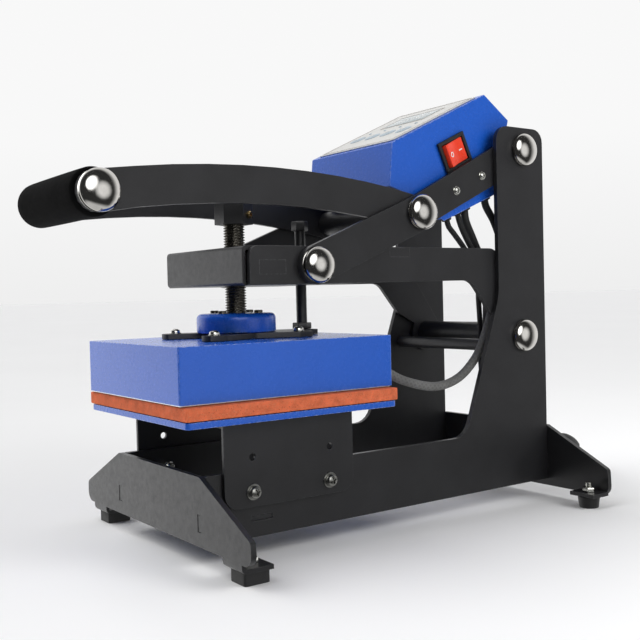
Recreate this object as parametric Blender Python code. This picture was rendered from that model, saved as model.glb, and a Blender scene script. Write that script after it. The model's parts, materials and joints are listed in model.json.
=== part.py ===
"""Small clamshell heat press: a steel frame, a toggle handle that carries the control box,
a press arm with a threaded pressure spindle, a heated upper platen and a padded lower platen.

Metres, +Z up, +Y to the rear, +X to the operator's side with the switch. The origin is on the
surface the press stands on, under the middle of the frame.
"""
import bpy
import bmesh
from math import atan2, ceil, cos, pi, radians, sin, tan
from mathutils import Matrix, Vector

# ---- driving dimensions -------------------------------------------------------------------
GAP = 0.0003            # running and assembly gap between neighbouring solids
SHEET = 0.004           # thickness of the laser-cut frame, arm and handle plates
FRAME_HALF = 0.066      # centre line to the outer face of the uprights
FRAME_TOP = 0.3185
BASE_TOP = 0.0618
BASE_BOTTOM = 0.0150
FRAME_FRONT = -0.1336   # outer face of the front foot plate
FRAME_REAR = 0.2134     # outer face of the rear foot plate
FOOT_HALF = 0.130       # half the width of a foot plate
FRONT_FOOT = (0.106, -0.1205)    # middle of the right-hand feet, (x, y)
REAR_FOOT = (0.117, 0.2000)

# pivots of the toggle linkage, as (y, z)
HANDLE_PIVOT = (0.1850, 0.2998)
ARM_PIVOT = (0.1820, 0.1418)
ELBOW = (0.0672, 0.2432)
LINK_PIVOT = (-0.0342, 0.2021)
GRIP_AXIS = (-0.1944, 0.2492)
SHAFT_R = 0.006
DOME_R = 0.01375
LOW_DOME, MIDDLE_DOME, HIGH_DOME = 0.0078, 0.0090, 0.0100     # how far the domed nuts stand out
HOLE_R = SHAFT_R + GAP

# heads and platens
SPINDLE_Y = -0.0633
GUIDE_PIN_Y = -0.0030
SPINDLE_R = 0.0080
PLATEN_HALF = 0.0748
PLATEN_FRONT, PLATEN_REAR = -0.1510, 0.0267
COVER_BOTTOM, COVER_TOP = 0.1113, 0.1493
LOWER_HALF = 0.0789
LOWER_FRONT, LOWER_REAR = -0.1483, 0.0270
LOWER_BOTTOM, LOWER_TOP = 0.0958, 0.1004
PAD_TOP = 0.1101

# control box
BOX_HALF = 0.0540
BOX_WALL = 0.0012
BOX_SLOPE = radians(25.0)
SWITCH = (0.1150, 0.2944)   # middle of the rocker switch, (y, z)

INNER = FRAME_HALF - SHEET              # inner face of the uprights
BAR_OUT = INNER - GAP                   # outer face of the handle bars and arm plates
BAR_IN = BAR_OUT - SHEET                # inner face of the handle bars and arm plates
BETWEEN_BARS = BAR_IN - GAP

# ---- clear the scene ----------------------------------------------------------------------
for old in list(bpy.data.objects):
    bpy.data.objects.remove(old, do_unlink=True)

PIVOTS = {
    "frame": Vector((0, 0, 0)),
    "handle": Vector((0, *HANDLE_PIVOT)),
    "arm": Vector((0, *ARM_PIVOT)),
    "link": Vector((0, *LINK_PIVOT)),
    "platen": Vector((0, SPINDLE_Y, COVER_TOP)),
    "spindle": Vector((0, SPINDLE_Y, COVER_TOP)),
    "rocker": Vector((BOX_HALF, *SWITCH)),
}
MOUNTED_ON = {"handle": "frame", "arm": "frame", "link": "arm", "platen": "arm",
              "spindle": "platen", "rocker": "handle"}
EMPTIES = {}

FINISHES = {                # colour, roughness, metallic
    "black_paint": ((0.030, 0.030, 0.033), 0.55, 0.0),
    "blue_paint": ((0.016, 0.085, 0.520), 0.35, 0.0),
    "stainless": ((0.620, 0.620, 0.610), 0.16, 1.0),
    "steel": ((0.300, 0.290, 0.270), 0.40, 1.0),
    "oily_steel": ((0.120, 0.110, 0.095), 0.38, 1.0),
    "aluminium": ((0.700, 0.700, 0.700), 0.32, 1.0),
    "sponge": ((0.560, 0.110, 0.045), 0.90, 0.0),
    "black_rubber": ((0.018, 0.018, 0.018), 0.80, 0.0),
    "black_plastic": ((0.022, 0.022, 0.024), 0.45, 0.0),
    "red_plastic": ((0.800, 0.050, 0.020), 0.25, 0.0),
    "grey_film": ((0.600, 0.610, 0.600), 0.40, 0.0),
    "grey_sleeve": ((0.120, 0.120, 0.115), 0.75, 0.0),
    "circuit_board": ((0.020, 0.150, 0.060), 0.50, 0.0),
    "insulation": ((0.750, 0.730, 0.660), 0.95, 0.0),
}


def make_pivots():
    """One empty on each joint's axis; the moving pieces are parented to them."""
    for name, place in PIVOTS.items():
        empty = bpy.data.objects.new(name + "_pivot", None)
        empty.empty_display_size = 0.02
        bpy.context.collection.objects.link(empty)
        base = MOUNTED_ON.get(name)
        empty.location = place - PIVOTS[base] if base else place
        if base:
            empty.parent = EMPTIES[base]
        EMPTIES[name] = empty


def paint(obj, finish):
    colour, roughness, metallic = FINISHES[finish]
    skin = bpy.data.materials.new(obj.name + "_" + finish)
    skin.use_nodes = True
    shader = skin.node_tree.nodes["Principled BSDF"]
    shader.inputs["Base Color"].default_value = (*colour, 1)
    shader.inputs["Roughness"].default_value = roughness
    shader.inputs["Metallic"].default_value = metallic
    skin.diffuse_color = (*colour, 1)
    obj.data.materials.append(skin)


def make_object(name, body, finish, bm, smooth=False):
    """Turn a bmesh in world coordinates into an object whose origin is on its body's pivot."""
    bmesh.ops.recalc_face_normals(bm, faces=bm.faces)
    bmesh.ops.translate(bm, verts=bm.verts, vec=-PIVOTS[body])
    mesh = bpy.data.meshes.new(name)
    bm.to_mesh(mesh)
    bm.free()
    if smooth:
        mesh.shade_smooth()
        mesh.set_sharp_from_angle(angle=radians(35))
    obj = bpy.data.objects.new(name, mesh)
    bpy.context.collection.objects.link(obj)
    obj.parent = EMPTIES[body]
    if finish:
        paint(obj, finish)
    return obj


# ---- outlines -----------------------------------------------------------------------------
def rounded(corners, steps=5):
    """Outline through (u, v, radius) corners, each rounded with an arc of its radius."""
    outline = []
    count = len(corners)
    for i, (u, v, radius) in enumerate(corners):
        here = Vector((u, v))
        if radius == 0:
            outline.append(here)
            continue
        back = (Vector(corners[i - 1][:2]) - here).normalized()
        ahead = (Vector(corners[(i + 1) % count][:2]) - here).normalized()
        half = back.angle(ahead) / 2
        centre = here + (back + ahead).normalized() * (radius / sin(half))
        first = here + back * (radius / tan(half)) - centre
        last = here + ahead * (radius / tan(half)) - centre
        turn = first.angle_signed(last)
        for step in range(steps + 1):
            outline.append(centre + Matrix.Rotation(-turn * step / steps, 2) @ first)
    return outline


def circle(u, v, radius, steps=24):
    return [Vector((u + radius * cos(2 * pi * i / steps), v + radius * sin(2 * pi * i / steps)))
            for i in range(steps)]


def strip(path, half_width, start_r, end_r, cap_steps=8):
    """Outline of a flat bar along a (u, v) path, with a round end of its own radius at each end."""
    path = [Vector(p) for p in path]
    left, right = [], []
    for i, here in enumerate(path):
        into = (here - path[i - 1]).normalized() if i else (path[1] - here).normalized()
        out = (path[i + 1] - here).normalized() if i + 1 < len(path) else into
        along = (into + out).normalized()
        side = Vector((-along.y, along.x)) * (half_width / max(0.5, along.dot(into)))
        left.append(here + side)
        right.append(here - side)

    def cap(centre, direction, radius):
        heading = atan2(direction.y, direction.x)
        return [centre + radius * Vector((cos(heading + a), sin(heading + a)))
                for a in (pi / 2 - pi * k / cap_steps for k in range(cap_steps + 1))]

    start = cap(path[0], path[0] - path[1], start_r)
    end = cap(path[-1], path[-1] - path[-2], end_r)
    return start + left[1:-1] + end + right[-2:0:-1]


def arc_path(start, end, rise, steps):
    """Points of a shallow arc from start to end, bulging by rise to the left of the chord."""
    a, b = Vector(start), Vector(end)
    chord = b - a
    normal = Vector((-chord.y, chord.x)).normalized()
    return [a + chord * t + normal * rise * 4 * t * (1 - t) for t in (i / steps for i in range(steps + 1))]


# ---- solids -------------------------------------------------------------------------------
def place(axis, u, v, depth):
    return {"X": (depth, u, v), "Y": (u, depth, v), "Z": (u, v, depth)}[axis]


def prism(name, body, finish, axis, outline, low, high, smooth=False):
    """Plate or bar: an outline in the plane across axis, extruded from low to high along it."""
    bm = bmesh.new()
    verts = [bm.verts.new(place(axis, p[0], p[1], low)) for p in outline]
    face = bm.faces.new(verts)
    raised = bmesh.ops.extrude_face_region(bm, geom=[face])["geom"]
    moved = [v for v in raised if isinstance(v, bmesh.types.BMVert)]
    bmesh.ops.translate(bm, verts=moved, vec=place(axis, 0, 0, high - low))
    return make_object(name, body, finish, bm, smooth)


def block(name, body, finish, low, high):
    corners = [(low[0], low[1]), (high[0], low[1]), (high[0], high[1]), (low[0], high[1])]
    return prism(name, body, finish, "Z", corners, low[2], high[2])


def turned(name, body, finish, axis, centre, profile, steps=24):
    """Solid of revolution. profile is (radius, height along axis); a tube's profile is a loop of
    rings, and a profile that starts and ends on radius 0 is solid."""
    bm = bmesh.new()
    rings = []
    for radius, height in profile:
        if radius == 0:
            rings.append([bm.verts.new(place(axis, centre[0], centre[1], height))])
            continue
        rings.append([bm.verts.new(place(axis, p.x, p.y, height))
                      for p in circle(centre[0], centre[1], radius, steps)])
    closed = profile[0][0] > 0
    pairs = list(zip(rings, rings[1:] + rings[:1])) if closed else list(zip(rings, rings[1:]))
    for a, b in pairs:
        for i in range(steps):
            j = (i + 1) % steps
            corners = [a[i % len(a)], a[j % len(a)], b[j % len(b)], b[i % len(b)]]
            unique = list(dict.fromkeys(corners))
            bm.faces.new(unique)
    return make_object(name, body, finish, bm, smooth=True)


def rod(name, body, finish, axis, centre, radius, low, high, steps=20):
    return turned(name, body, finish, axis, centre, [(0, low), (radius, low), (radius, high), (0, high)],
                  steps)


def sleeve(name, body, finish, axis, centre, inner, outer, low, high, steps=24):
    return turned(name, body, finish, axis, centre,
                  [(inner, low), (outer, low), (outer, high), (inner, high)], steps)


def cut(target, cutter):
    cutter.hide_render = True
    cutter.display_type = "WIRE"
    boolean = target.modifiers.new(cutter.name, "BOOLEAN")
    boolean.operation = "DIFFERENCE"
    boolean.solver = "EXACT"
    boolean.object = cutter


def drill(target, body, axis, centre, radius, low, high, steps=20):
    hole = prism(target.name + "_hole_%d" % len(target.modifiers), body, None, axis,
                 circle(*centre, radius, steps), low, high)
    cut(target, hole)


def slot(target, body, low, high):
    opening = block(target.name + "_slot_%d" % len(target.modifiers), body, None, low, high)
    cut(target, opening)


def smooth_route(points, spacing):
    """Even points along a Catmull-Rom curve through a cord's own points."""
    pts = [Vector(p) for p in points]
    pts = [2 * pts[0] - pts[1]] + pts + [2 * pts[-1] - pts[-2]]
    fine = []
    for a, b, c, d in zip(pts, pts[1:], pts[2:], pts[3:]):
        for k in range(24):
            t = k / 24
            fine.append(0.5 * (2 * b + (c - a) * t + (2 * a - 5 * b + 4 * c - d) * t * t
                               + (3 * b - a - 3 * c + d) * t ** 3))
    fine.append(pts[-2])
    length = sum((q - p).length for p, q in zip(fine, fine[1:]))
    count = ceil(length / spacing)
    route, walked, goal = [fine[0]], 0.0, length / count
    for p, q in zip(fine, fine[1:]):
        step = (q - p).length
        while len(route) < count and walked + step >= goal * len(route):
            route.append(p.lerp(q, (goal * len(route) - walked) / step))
        walked += step
    route.append(fine[-1])
    return route


def cable(name, body, finish, points, radius, spacing):
    curve = bpy.data.curves.new(name, "CURVE")
    curve.dimensions = "3D"
    curve.bevel_depth = radius
    curve.bevel_resolution = 2
    curve.use_fill_caps = True
    spline = curve.splines.new("POLY")
    route = smooth_route(points, spacing)
    spline.points.add(len(route) - 1)
    for point, where in zip(spline.points, route):
        point.co = (*(where - PIVOTS[body]), 1)
    obj = bpy.data.objects.new(name, curve)
    bpy.context.collection.objects.link(obj)
    obj.parent = EMPTIES[body]
    paint(obj, finish)


def sides(name, build):
    """Build a piece on each side of the press; build takes the name and the side's sign."""
    for label, sign in (("right", 1), ("left", -1)):
        build(name + "_" + label, sign)


def span(sign, inner, outer):
    """Low and high X of a plate that lies between two distances from the centre line."""
    return (inner, outer) if sign > 0 else (-outer, -inner)


# ---- frame --------------------------------------------------------------------------------
TONGUE_LOW, TONGUE_HIGH = 0.0252, 0.0364
TAB_FRONT, TAB_REAR = -0.0944, -0.0774
CROSS_LOW, CROSS_HIGH = 0.0265, 0.0295
CROSS_FRONT, CROSS_REAR = -0.1130, -0.0580
UPRIGHT_FRONT = 0.1525
REAR_PLATE_FRONT = FRAME_REAR - SHEET
FRONT_PLATE_REAR = FRAME_FRONT + SHEET
FOOT_SHOULDER = 0.0310
STAY_AXIS = (0.1526, 0.1345)
STAY_R = 0.005


def side_plates():
    front = FRONT_PLATE_REAR + GAP
    rear = REAR_PLATE_FRONT - GAP
    tongue_front = FRAME_FRONT + GAP
    tongue_rear = FRAME_REAR - GAP
    outline = rounded([
        (front, BASE_BOTTOM, 0), (rear, BASE_BOTTOM, 0),
        (rear, TONGUE_LOW, 0), (tongue_rear, TONGUE_LOW, 0),
        (tongue_rear, TONGUE_HIGH, 0), (rear, TONGUE_HIGH, 0),
        (rear, FRAME_TOP, 0.011), (UPRIGHT_FRONT, FRAME_TOP, 0.013),
        (UPRIGHT_FRONT, 0.1760, 0.060), (0.1115, BASE_TOP, 0.018),
        (front, BASE_TOP, 0.002), (front, TONGUE_HIGH, 0),
        (tongue_front, TONGUE_HIGH, 0), (tongue_front, TONGUE_LOW, 0),
        (front, TONGUE_LOW, 0)])

    def build(name, sign):
        plate = prism(name, "frame", "black_paint", "X", outline, *span(sign, INNER, FRAME_HALF))
        reach = span(sign, INNER - 0.004, FRAME_HALF + 0.004)
        drill(plate, "frame", "X", HANDLE_PIVOT, HOLE_R, *reach)
        drill(plate, "frame", "X", ARM_PIVOT, HOLE_R, *reach)
        slot(plate, "frame", (reach[0], TAB_FRONT - GAP, CROSS_LOW - GAP),
             (reach[1], TAB_REAR + GAP, CROSS_HIGH + GAP))
    sides("side_plate", build)


def foot_plates():
    """The trapezoid plates across the frame's ends, each with two flanges bent inwards."""
    half_outline = [(FRAME_HALF - 0.001, 0.0620, 0.003), (0.1289, FOOT_SHOULDER, 0.004),
                    (FOOT_HALF, BASE_BOTTOM, 0.008)]
    front_flange = rounded([
        (FRAME_FRONT + GAP, 0.0170, 0), (FRAME_FRONT + GAP, 0.0085, 0.0040), (-0.1098, 0.0085, 0),
        (-0.1098, 0.0115, 0), (FRONT_PLATE_REAR - 0.0010, 0.0115, 0.0010),
        (FRONT_PLATE_REAR - 0.0010, 0.0170, 0)], 3)
    rear_flange = [(0.1915, 0.0095), (REAR_PLATE_FRONT + 0.001, 0.0095),
                   (REAR_PLATE_FRONT + 0.001, 0.0125), (0.1915, 0.0125)]
    for name, low_y, bottom, flange, foot in (
            ("front_foot_plate", FRAME_FRONT, BASE_BOTTOM, front_flange, FRONT_FOOT),
            ("rear_foot_plate", REAR_PLATE_FRONT, 0.0090, rear_flange, REAR_FOOT)):
        right = [(x, z if z > BASE_BOTTOM else bottom, r) for x, z, r in half_outline]
        left = [(-x, z, r) for x, z, r in reversed(right)]
        plate = prism(name, "frame", "black_paint", "Y", rounded(right + left),
                      low_y, low_y + SHEET)
        for sign in (1, -1):
            low_x, high_x = span(sign, INNER - GAP, FRAME_HALF + GAP)
            slot(plate, "frame", (low_x, low_y - 0.002, TONGUE_LOW - GAP),
                 (high_x, low_y + SHEET + 0.002, TONGUE_HIGH + GAP))
            tab = prism("%s_flange_%d" % (name, sign), "frame", None, "X", flange,
                        *span(sign, foot[0] - 0.0125, foot[0] + 0.0115))
            join(plate, tab)
        if name == "rear_foot_plate":
            drill(plate, "frame", "Y", GLAND_CENTRE, GLAND_R + GAP, low_y - 0.002,
                  low_y + SHEET + 0.002)


def feet():
    """Square rubber blocks under the front flanges, turned rubber feet at the rear."""
    def front(name, sign):
        x, y = sign * FRONT_FOOT[0], FRONT_FOOT[1]
        square = rounded([(x - 0.0095, y - 0.0095, 0.002), (x + 0.0095, y - 0.0095, 0.002),
                          (x + 0.0095, y + 0.0095, 0.002), (x - 0.0095, y + 0.0095, 0.002)], 2)
        prism(name, "frame", "black_rubber", "Z", square, 0, 0.0085 - GAP)

    def rear(name, sign):
        turned(name, "frame", "black_rubber", "Z", (sign * REAR_FOOT[0], REAR_FOOT[1]),
               [(0, 0), (0.0078, 0), (0.0090, 0.0092), (0, 0.0092)], 20)

    sides("front_foot_pad", front)
    sides("rear_foot_pad", rear)


def join(target, other):
    """Boolean union of a hidden shape into a piece."""
    other.hide_render = True
    other.display_type = "WIRE"
    union = target.modifiers.new(other.name, "BOOLEAN")
    union.operation = "UNION"
    union.solver = "EXACT"
    union.object = other


def base_cross_plate():
    inner = INNER - GAP
    tab = FRAME_HALF - GAP
    outline = [(-inner, CROSS_FRONT), (inner, CROSS_FRONT), (inner, TAB_FRONT), (tab, TAB_FRONT),
               (tab, TAB_REAR), (inner, TAB_REAR), (inner, CROSS_REAR), (-inner, CROSS_REAR),
               (-inner, TAB_REAR), (-tab, TAB_REAR), (-tab, TAB_FRONT), (-inner, TAB_FRONT)]
    prism("base_cross_plate", "frame", "black_paint", "Z", outline, CROSS_LOW, CROSS_HIGH)


def dome_nut(name, body, axis_point, sign, face_x, height, radius=DOME_R):
    """Polished domed cap nut with a thin flange, standing on the plate face at face_x."""
    flange = 0.0012
    ball = (radius ** 2 + height ** 2) / (2 * height)
    profile = [(0, 0), (radius, 0), (radius, flange)]
    for step in range(1, 6):
        lift = flange + (height - flange) * sin(pi / 2 * step / 5)
        reach = max(0.0, ball ** 2 - (lift - (height - ball)) ** 2) ** 0.5
        profile.append((min(reach, radius) if step < 5 else 0, lift))
    turned(name, body, "stainless", "X", axis_point,
           [(r, sign * (face_x + h)) for r, h in profile], 24)


def shafts_and_domes():
    reach = FRAME_HALF
    rod("handle_shaft", "frame", "steel", "X", HANDLE_PIVOT, SHAFT_R, -reach, reach)
    rod("arm_shaft", "frame", "steel", "X", ARM_PIVOT, SHAFT_R, -reach, reach)
    rod("upright_stay_bar", "frame", "black_paint", "X", STAY_AXIS, STAY_R, GAP - INNER, INNER - GAP)
    face = FRAME_HALF + GAP
    sides("handle_shaft_dome", lambda n, s: dome_nut(n, "frame", HANDLE_PIVOT, s, face, LOW_DOME))
    sides("arm_shaft_dome", lambda n, s: dome_nut(n, "frame", ARM_PIVOT, s, face, LOW_DOME))


def platen_bracket():
    """Inverted channel that straddles the frame's base and carries the lower platen."""
    inner, wall = FRAME_HALF + GAP, 0.003
    front, rear = -0.1165, -0.0080
    low, high = 0.0368, LOWER_BOTTOM - GAP
    web_under = high - wall
    outer = inner + wall
    section = [(-outer, low), (-inner, low), (-inner, web_under), (inner, web_under),
               (inner, low), (outer, low), (outer, high), (-outer, high)]
    bracket = prism("platen_bracket", "frame", "black_paint", "Y", section, front, rear)
    corner = 0.011
    for label, y, towards in (("front", front, 1), ("rear", rear, -1)):
        wedge = rounded([(y - towards * 0.002, low - 0.002, 0),
                         (y + towards * corner, low - 0.002, 0),
                         (y + towards * corner, low, 0),
                         (y, low, corner * 0.98),
                         (y, low + corner, 0),
                         (y - towards * 0.002, low + corner, 0)], 6)
        cut(bracket, prism("bracket_corner_" + label, "frame", None, "X", wedge,
                           -outer - 0.002, outer + 0.002))
    for y in (-0.0942, -0.0291):
        drill(bracket, "frame", "X", (y, 0.0711), 0.0026, -outer - 0.002, outer + 0.002, 12)


def lower_platen():
    outline = rounded([(-LOWER_HALF, LOWER_FRONT, 0.003), (LOWER_HALF, LOWER_FRONT, 0.003),
                       (LOWER_HALF, LOWER_REAR, 0.003), (-LOWER_HALF, LOWER_REAR, 0.003)], 3)
    prism("lower_platen", "frame", "blue_paint", "Z", outline, LOWER_BOTTOM, LOWER_TOP)
    over = 0.0008          # the pad stands a little proud of its platen all round
    pad = [(x + over if x > 0 else x - over, y - over if y < -0.05 else y + over)
           for x, y in outline]
    prism("silicone_sponge_pad", "frame", "sponge", "Z", pad, LOWER_TOP + GAP, PAD_TOP)


# ---- handle and control box ---------------------------------------------------------------
TOE_START = 0.0420          # the bars lean towards each other in front of this line
TOE_SLOPE = 0.0182
GRIP_IN = TOE_SLOPE * (TOE_START - GRIP_AXIS[0])     # how far each bar has come in at the grip
DOME_LEAN = TOE_SLOPE * 0.0165
FLAT_DOME, FLAT_DOME_R = 0.0042, 0.0095      # the low nut at the left end of the grip


def lean_in(bar, sign):
    """Bend a flat bar so that its front part leans towards the centre line."""
    start = TOE_START - PIVOTS["handle"].y
    bm = bmesh.new()
    bm.from_mesh(bar.data)
    bmesh.ops.bisect_plane(bm, geom=bm.verts[:] + bm.edges[:] + bm.faces[:], dist=1e-7,
                           plane_co=(0, start, 0), plane_no=(0, 1, 0))
    for vert in bm.verts:
        vert.co.x -= sign * TOE_SLOPE * max(0.0, start - vert.co.y)
    bm.to_mesh(bar.data)
    bm.free()


def handle_bars():
    bow = arc_path(GRIP_AXIS, ELBOW, 0.0117, 10)
    outline = strip(bow + [Vector(HANDLE_PIVOT)], 0.0131, 0.0136, 0.0145)

    def build(name, sign):
        bar = prism(name, "handle", "black_paint", "X", outline, *span(sign, BAR_IN, BAR_OUT))
        lean_in(bar, sign)
        reach = span(sign, BAR_IN - 0.003, BAR_OUT + 0.003)
        drill(bar, "handle", "X", HANDLE_PIVOT, HOLE_R, *reach)
        drill(bar, "handle", "X", GRIP_AXIS, HOLE_R, *span(sign, BAR_IN - 0.014, BAR_OUT))
    sides("handle_bar", build)
    grip_half = BETWEEN_BARS - GRIP_IN - DOME_LEAN
    rod_half = BAR_OUT - GRIP_IN
    sleeve("grip_sleeve", "handle", "black_rubber", "X", GRIP_AXIS, HOLE_R, 0.0162,
           -grip_half, grip_half, 28)
    rod("grip_rod", "handle", "steel", "X", GRIP_AXIS, SHAFT_R, -rod_half, rod_half)
    rod("elbow_cross_tube", "handle", "black_paint", "X", ELBOW, 0.0105, -BETWEEN_BARS, BETWEEN_BARS, 24)
    face = rod_half + DOME_LEAN + GAP
    dome_nut("grip_dome_right", "handle", GRIP_AXIS, 1, face, HIGH_DOME)
    dome_nut("grip_dome_left", "handle", GRIP_AXIS, -1, face, FLAT_DOME, FLAT_DOME_R)


def box_profile(inset):
    """Side view of the control box, shrunk by inset all round; the lid's edges come first."""
    corners = [(0.0458, 0.2638), (0.0492, 0.2980), (0.1517, 0.3457), (0.1803, 0.3265),
               (0.1765, 0.3120), (0.1765, 0.2678), (0.1030, 0.2382), (0.0712, 0.2565)]
    count = len(corners)
    shrunk = []
    for i, corner in enumerate(corners):
        here = Vector(corner)
        into = (here - Vector(corners[i - 1])).normalized()
        out = (Vector(corners[(i + 1) % count]) - here).normalized()
        inward = (Vector((into.y, -into.x)) + Vector((out.y, -out.x))).normalized()
        shrunk.append(here + inward * (inset / max(0.3, inward.dot(Vector((into.y, -into.x))))))
    return shrunk


LEAD_HOLES = ((0.047, (0.1325, 0.2501)), (0.047, (0.1565, 0.2597)))    # x, then (y, z)


def control_box():
    """Folded shell open below, closed by a base plate; the lid slopes towards the operator."""
    shell = prism("control_box_shell", "handle", "blue_paint", "X", box_profile(0), -BOX_HALF, BOX_HALF)
    hollow = box_profile(BOX_WALL)
    drop = Vector((0, -0.012))
    front_edge = (hollow[0] - hollow[1]).normalized()
    opening = hollow[1:5] + [hollow[5] + drop, hollow[6] + drop, hollow[7] + drop + Vector((-0.004, 0)),
                             hollow[0] + front_edge * 0.012]
    cut(shell, prism("box_hollow", "handle", None, "X", opening, BOX_WALL - BOX_HALF, BOX_HALF - BOX_WALL))
    under = box_profile(BOX_WALL + GAP)
    upper = box_profile(BOX_WALL + GAP + 0.0015)
    floor = [under[0], under[7], under[6], under[5], upper[5], upper[6], upper[7], upper[0]]
    half = BOX_HALF - BOX_WALL - GAP
    base = prism("control_box_base", "handle", "blue_paint", "X", floor, -half, half)
    for x, (y, z) in LEAD_HOLES:
        drill(base, "handle", "Z", (x, y), 0.0042, z - 0.014, z + 0.014, 14)
    lid_panel()
    switch(shell)
    electronics()


def along_slope(point, run, rise):
    """Move a (y, z) point by run up the lid's slope and by rise square to it."""
    c, s = cos(BOX_SLOPE), sin(BOX_SLOPE)
    return (point[0] + run * c - rise * s, point[1] + run * s + rise * c)


def sloped_rect(centre, half_run, half_rise):
    return [along_slope(centre, a * half_run, b * half_rise)
            for a, b in ((-1, -1), (1, -1), (1, 1), (-1, 1))]


def lid_panel():
    """Membrane keypad with its display window, stuck on the sloping lid."""
    corners = box_profile(0)
    run = corners[2] - corners[1]
    middle = (corners[1] + corners[2]) / 2
    up = Vector((-run.y, run.x)).normalized()
    half_run = run.length / 2 - 0.0045
    thick = 0.0010
    along = run.normalized() * half_run
    foot = middle + up * GAP
    section = [foot - along, foot + along, foot + along + up * thick, foot - along + up * thick]
    half = BOX_HALF - 0.0045
    prism("control_panel", "handle", "grey_film", "X", section, -half, half)


def switch(shell):
    """Rocker switch through the right wall of the shell."""
    hole = sloped_rect(SWITCH, 0.0137, 0.0110)
    cut(shell, prism("switch_opening", "handle", None, "X", hole, BOX_HALF - 0.004, BOX_HALF + 0.004))
    flange = prism("switch_bezel", "handle", "black_plastic", "X", sloped_rect(SWITCH, 0.0155, 0.0129),
                   BOX_HALF + GAP, BOX_HALF + 0.0026)
    can = prism("switch_can", "handle", None, "X", sloped_rect(SWITCH, 0.0134, 0.0107),
                BOX_HALF - 0.020, BOX_HALF + 0.0010)
    join(flange, can)
    pocket = prism("switch_pocket", "handle", None, "X", sloped_rect(SWITCH, 0.0124, 0.0097),
                   BOX_HALF - 0.012, BOX_HALF + 0.010)
    cut(flange, pocket)
    half_run, end_run, height = 0.0117, 0.0104, 0.0050
    crown = [(-end_run, height), (-half_run, 0.0010), (-end_run, -height), (end_run, -height),
             (half_run, 0.0010), (half_run, 0.0018), (0.0008, 0.0022)]
    bm = bmesh.new()
    rows = []
    for rise in (-0.0093, 0.0093):
        row = []
        for run, out in crown:
            y, z = along_slope(SWITCH, run, rise)
            row.append(bm.verts.new((BOX_HALF + out, y, z)))
        rows.append(row)
    bm.faces.new(rows[0])
    bm.faces.new(rows[1])
    for i in range(len(crown)):
        j = (i + 1) % len(crown)
        bm.faces.new((rows[0][i], rows[0][j], rows[1][j], rows[1][i]))
    make_object("switch_rocker", "rocker", "red_plastic", bm)


def electronics():
    """Controller board under the lid."""
    corners = box_profile(0)
    run = (corners[2] - corners[1]).normalized()
    down = Vector((run.y, -run.x))
    start = corners[1] + run * 0.016 + down * 0.011
    end = corners[1] + run * 0.094 + down * 0.011
    board = [start, end, end + down * 0.0016, start + down * 0.0016]
    prism("controller_board", "handle", "circuit_board", "X", board, -0.045, 0.030)


# ---- press arm ----------------------------------------------------------------------------
ARM_TOP, ARM_BOTTOM = 0.2160, 0.1885
ARM_FRONT = -0.0878
NOSE_FRONT, NOSE_REAR = -0.0915, 0.0130
NOSE_WALL = 0.003


def arm_outline():
    """Bent arm: straight over the platen, turned down at the rear to the pivot's eye."""
    eye_r = 0.0170
    pivot = Vector(ARM_PIVOT)
    eye = [pivot + eye_r * Vector((cos(a), sin(a)))
           for a in (radians(20 - 18.0 * k) for k in range(14))]
    body = rounded([(ARM_FRONT, ARM_BOTTOM, 0), (ARM_FRONT, ARM_TOP, 0.007),
                    (0.1530, ARM_TOP, 0.012), (eye[0].x, eye[0].y + 0.004, 0)], 5)
    knee = rounded([(eye[-1].x, eye[-1].y, 0), (0.1475, 0.1615, 0.010), (0.1240, ARM_BOTTOM + 0.001, 0.014),
                    (ARM_FRONT, ARM_BOTTOM, 0)], 4)
    return body + eye + knee[1:-1]


def press_arm():
    outline = arm_outline()

    def build(name, sign):
        plate = prism(name, "arm", "black_paint", "X", outline, *span(sign, BAR_IN, BAR_OUT))
        reach = span(sign, BAR_IN - 0.003, BAR_OUT + 0.003)
        drill(plate, "arm", "X", ARM_PIVOT, HOLE_R, *reach)
        drill(plate, "arm", "X", LINK_PIVOT, HOLE_R, *reach)
    sides("arm_plate", build)
    sleeve("arm_pivot_sleeve", "arm", "black_paint", "X", ARM_PIVOT, HOLE_R, 0.0110,
           -BETWEEN_BARS, BETWEEN_BARS)
    section = rounded([(NOSE_FRONT, ARM_BOTTOM, 0.003), (NOSE_FRONT, ARM_TOP, 0.003),
                       (NOSE_REAR, ARM_TOP, 0), (NOSE_REAR, ARM_TOP - NOSE_WALL, 0),
                       (NOSE_FRONT + NOSE_WALL, ARM_TOP - NOSE_WALL, 0),
                       (NOSE_FRONT + NOSE_WALL, ARM_BOTTOM + NOSE_WALL, 0),
                       (NOSE_REAR, ARM_BOTTOM + NOSE_WALL, 0), (NOSE_REAR, ARM_BOTTOM, 0)], 3)
    nose = prism("arm_nose", "arm", "black_paint", "X", section, -BETWEEN_BARS, BETWEEN_BARS)
    low, high = ARM_BOTTOM - 0.003, ARM_TOP + 0.003
    drill(nose, "arm", "Z", (0, SPINDLE_Y), SPINDLE_R + 0.0006, low, high)
    drill(nose, "arm", "Z", (0, GUIDE_PIN_Y), GUIDE_PIN_R + GAP, low, high)
    cut(nose, rod("link_shaft_way", "arm", None, "X", LINK_PIVOT, SHAFT_R + 0.001,
                  -BETWEEN_BARS - 0.002, BETWEEN_BARS + 0.002))
    nut = block("spindle_nut", "arm", "steel",
                (-0.0140, SPINDLE_Y - 0.0140, ARM_BOTTOM + NOSE_WALL + GAP),
                (0.0140, SPINDLE_Y + 0.0140, ARM_TOP - NOSE_WALL - GAP))
    drill(nut, "arm", "Z", (0, SPINDLE_Y), SPINDLE_R + GAP, low, high)


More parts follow.
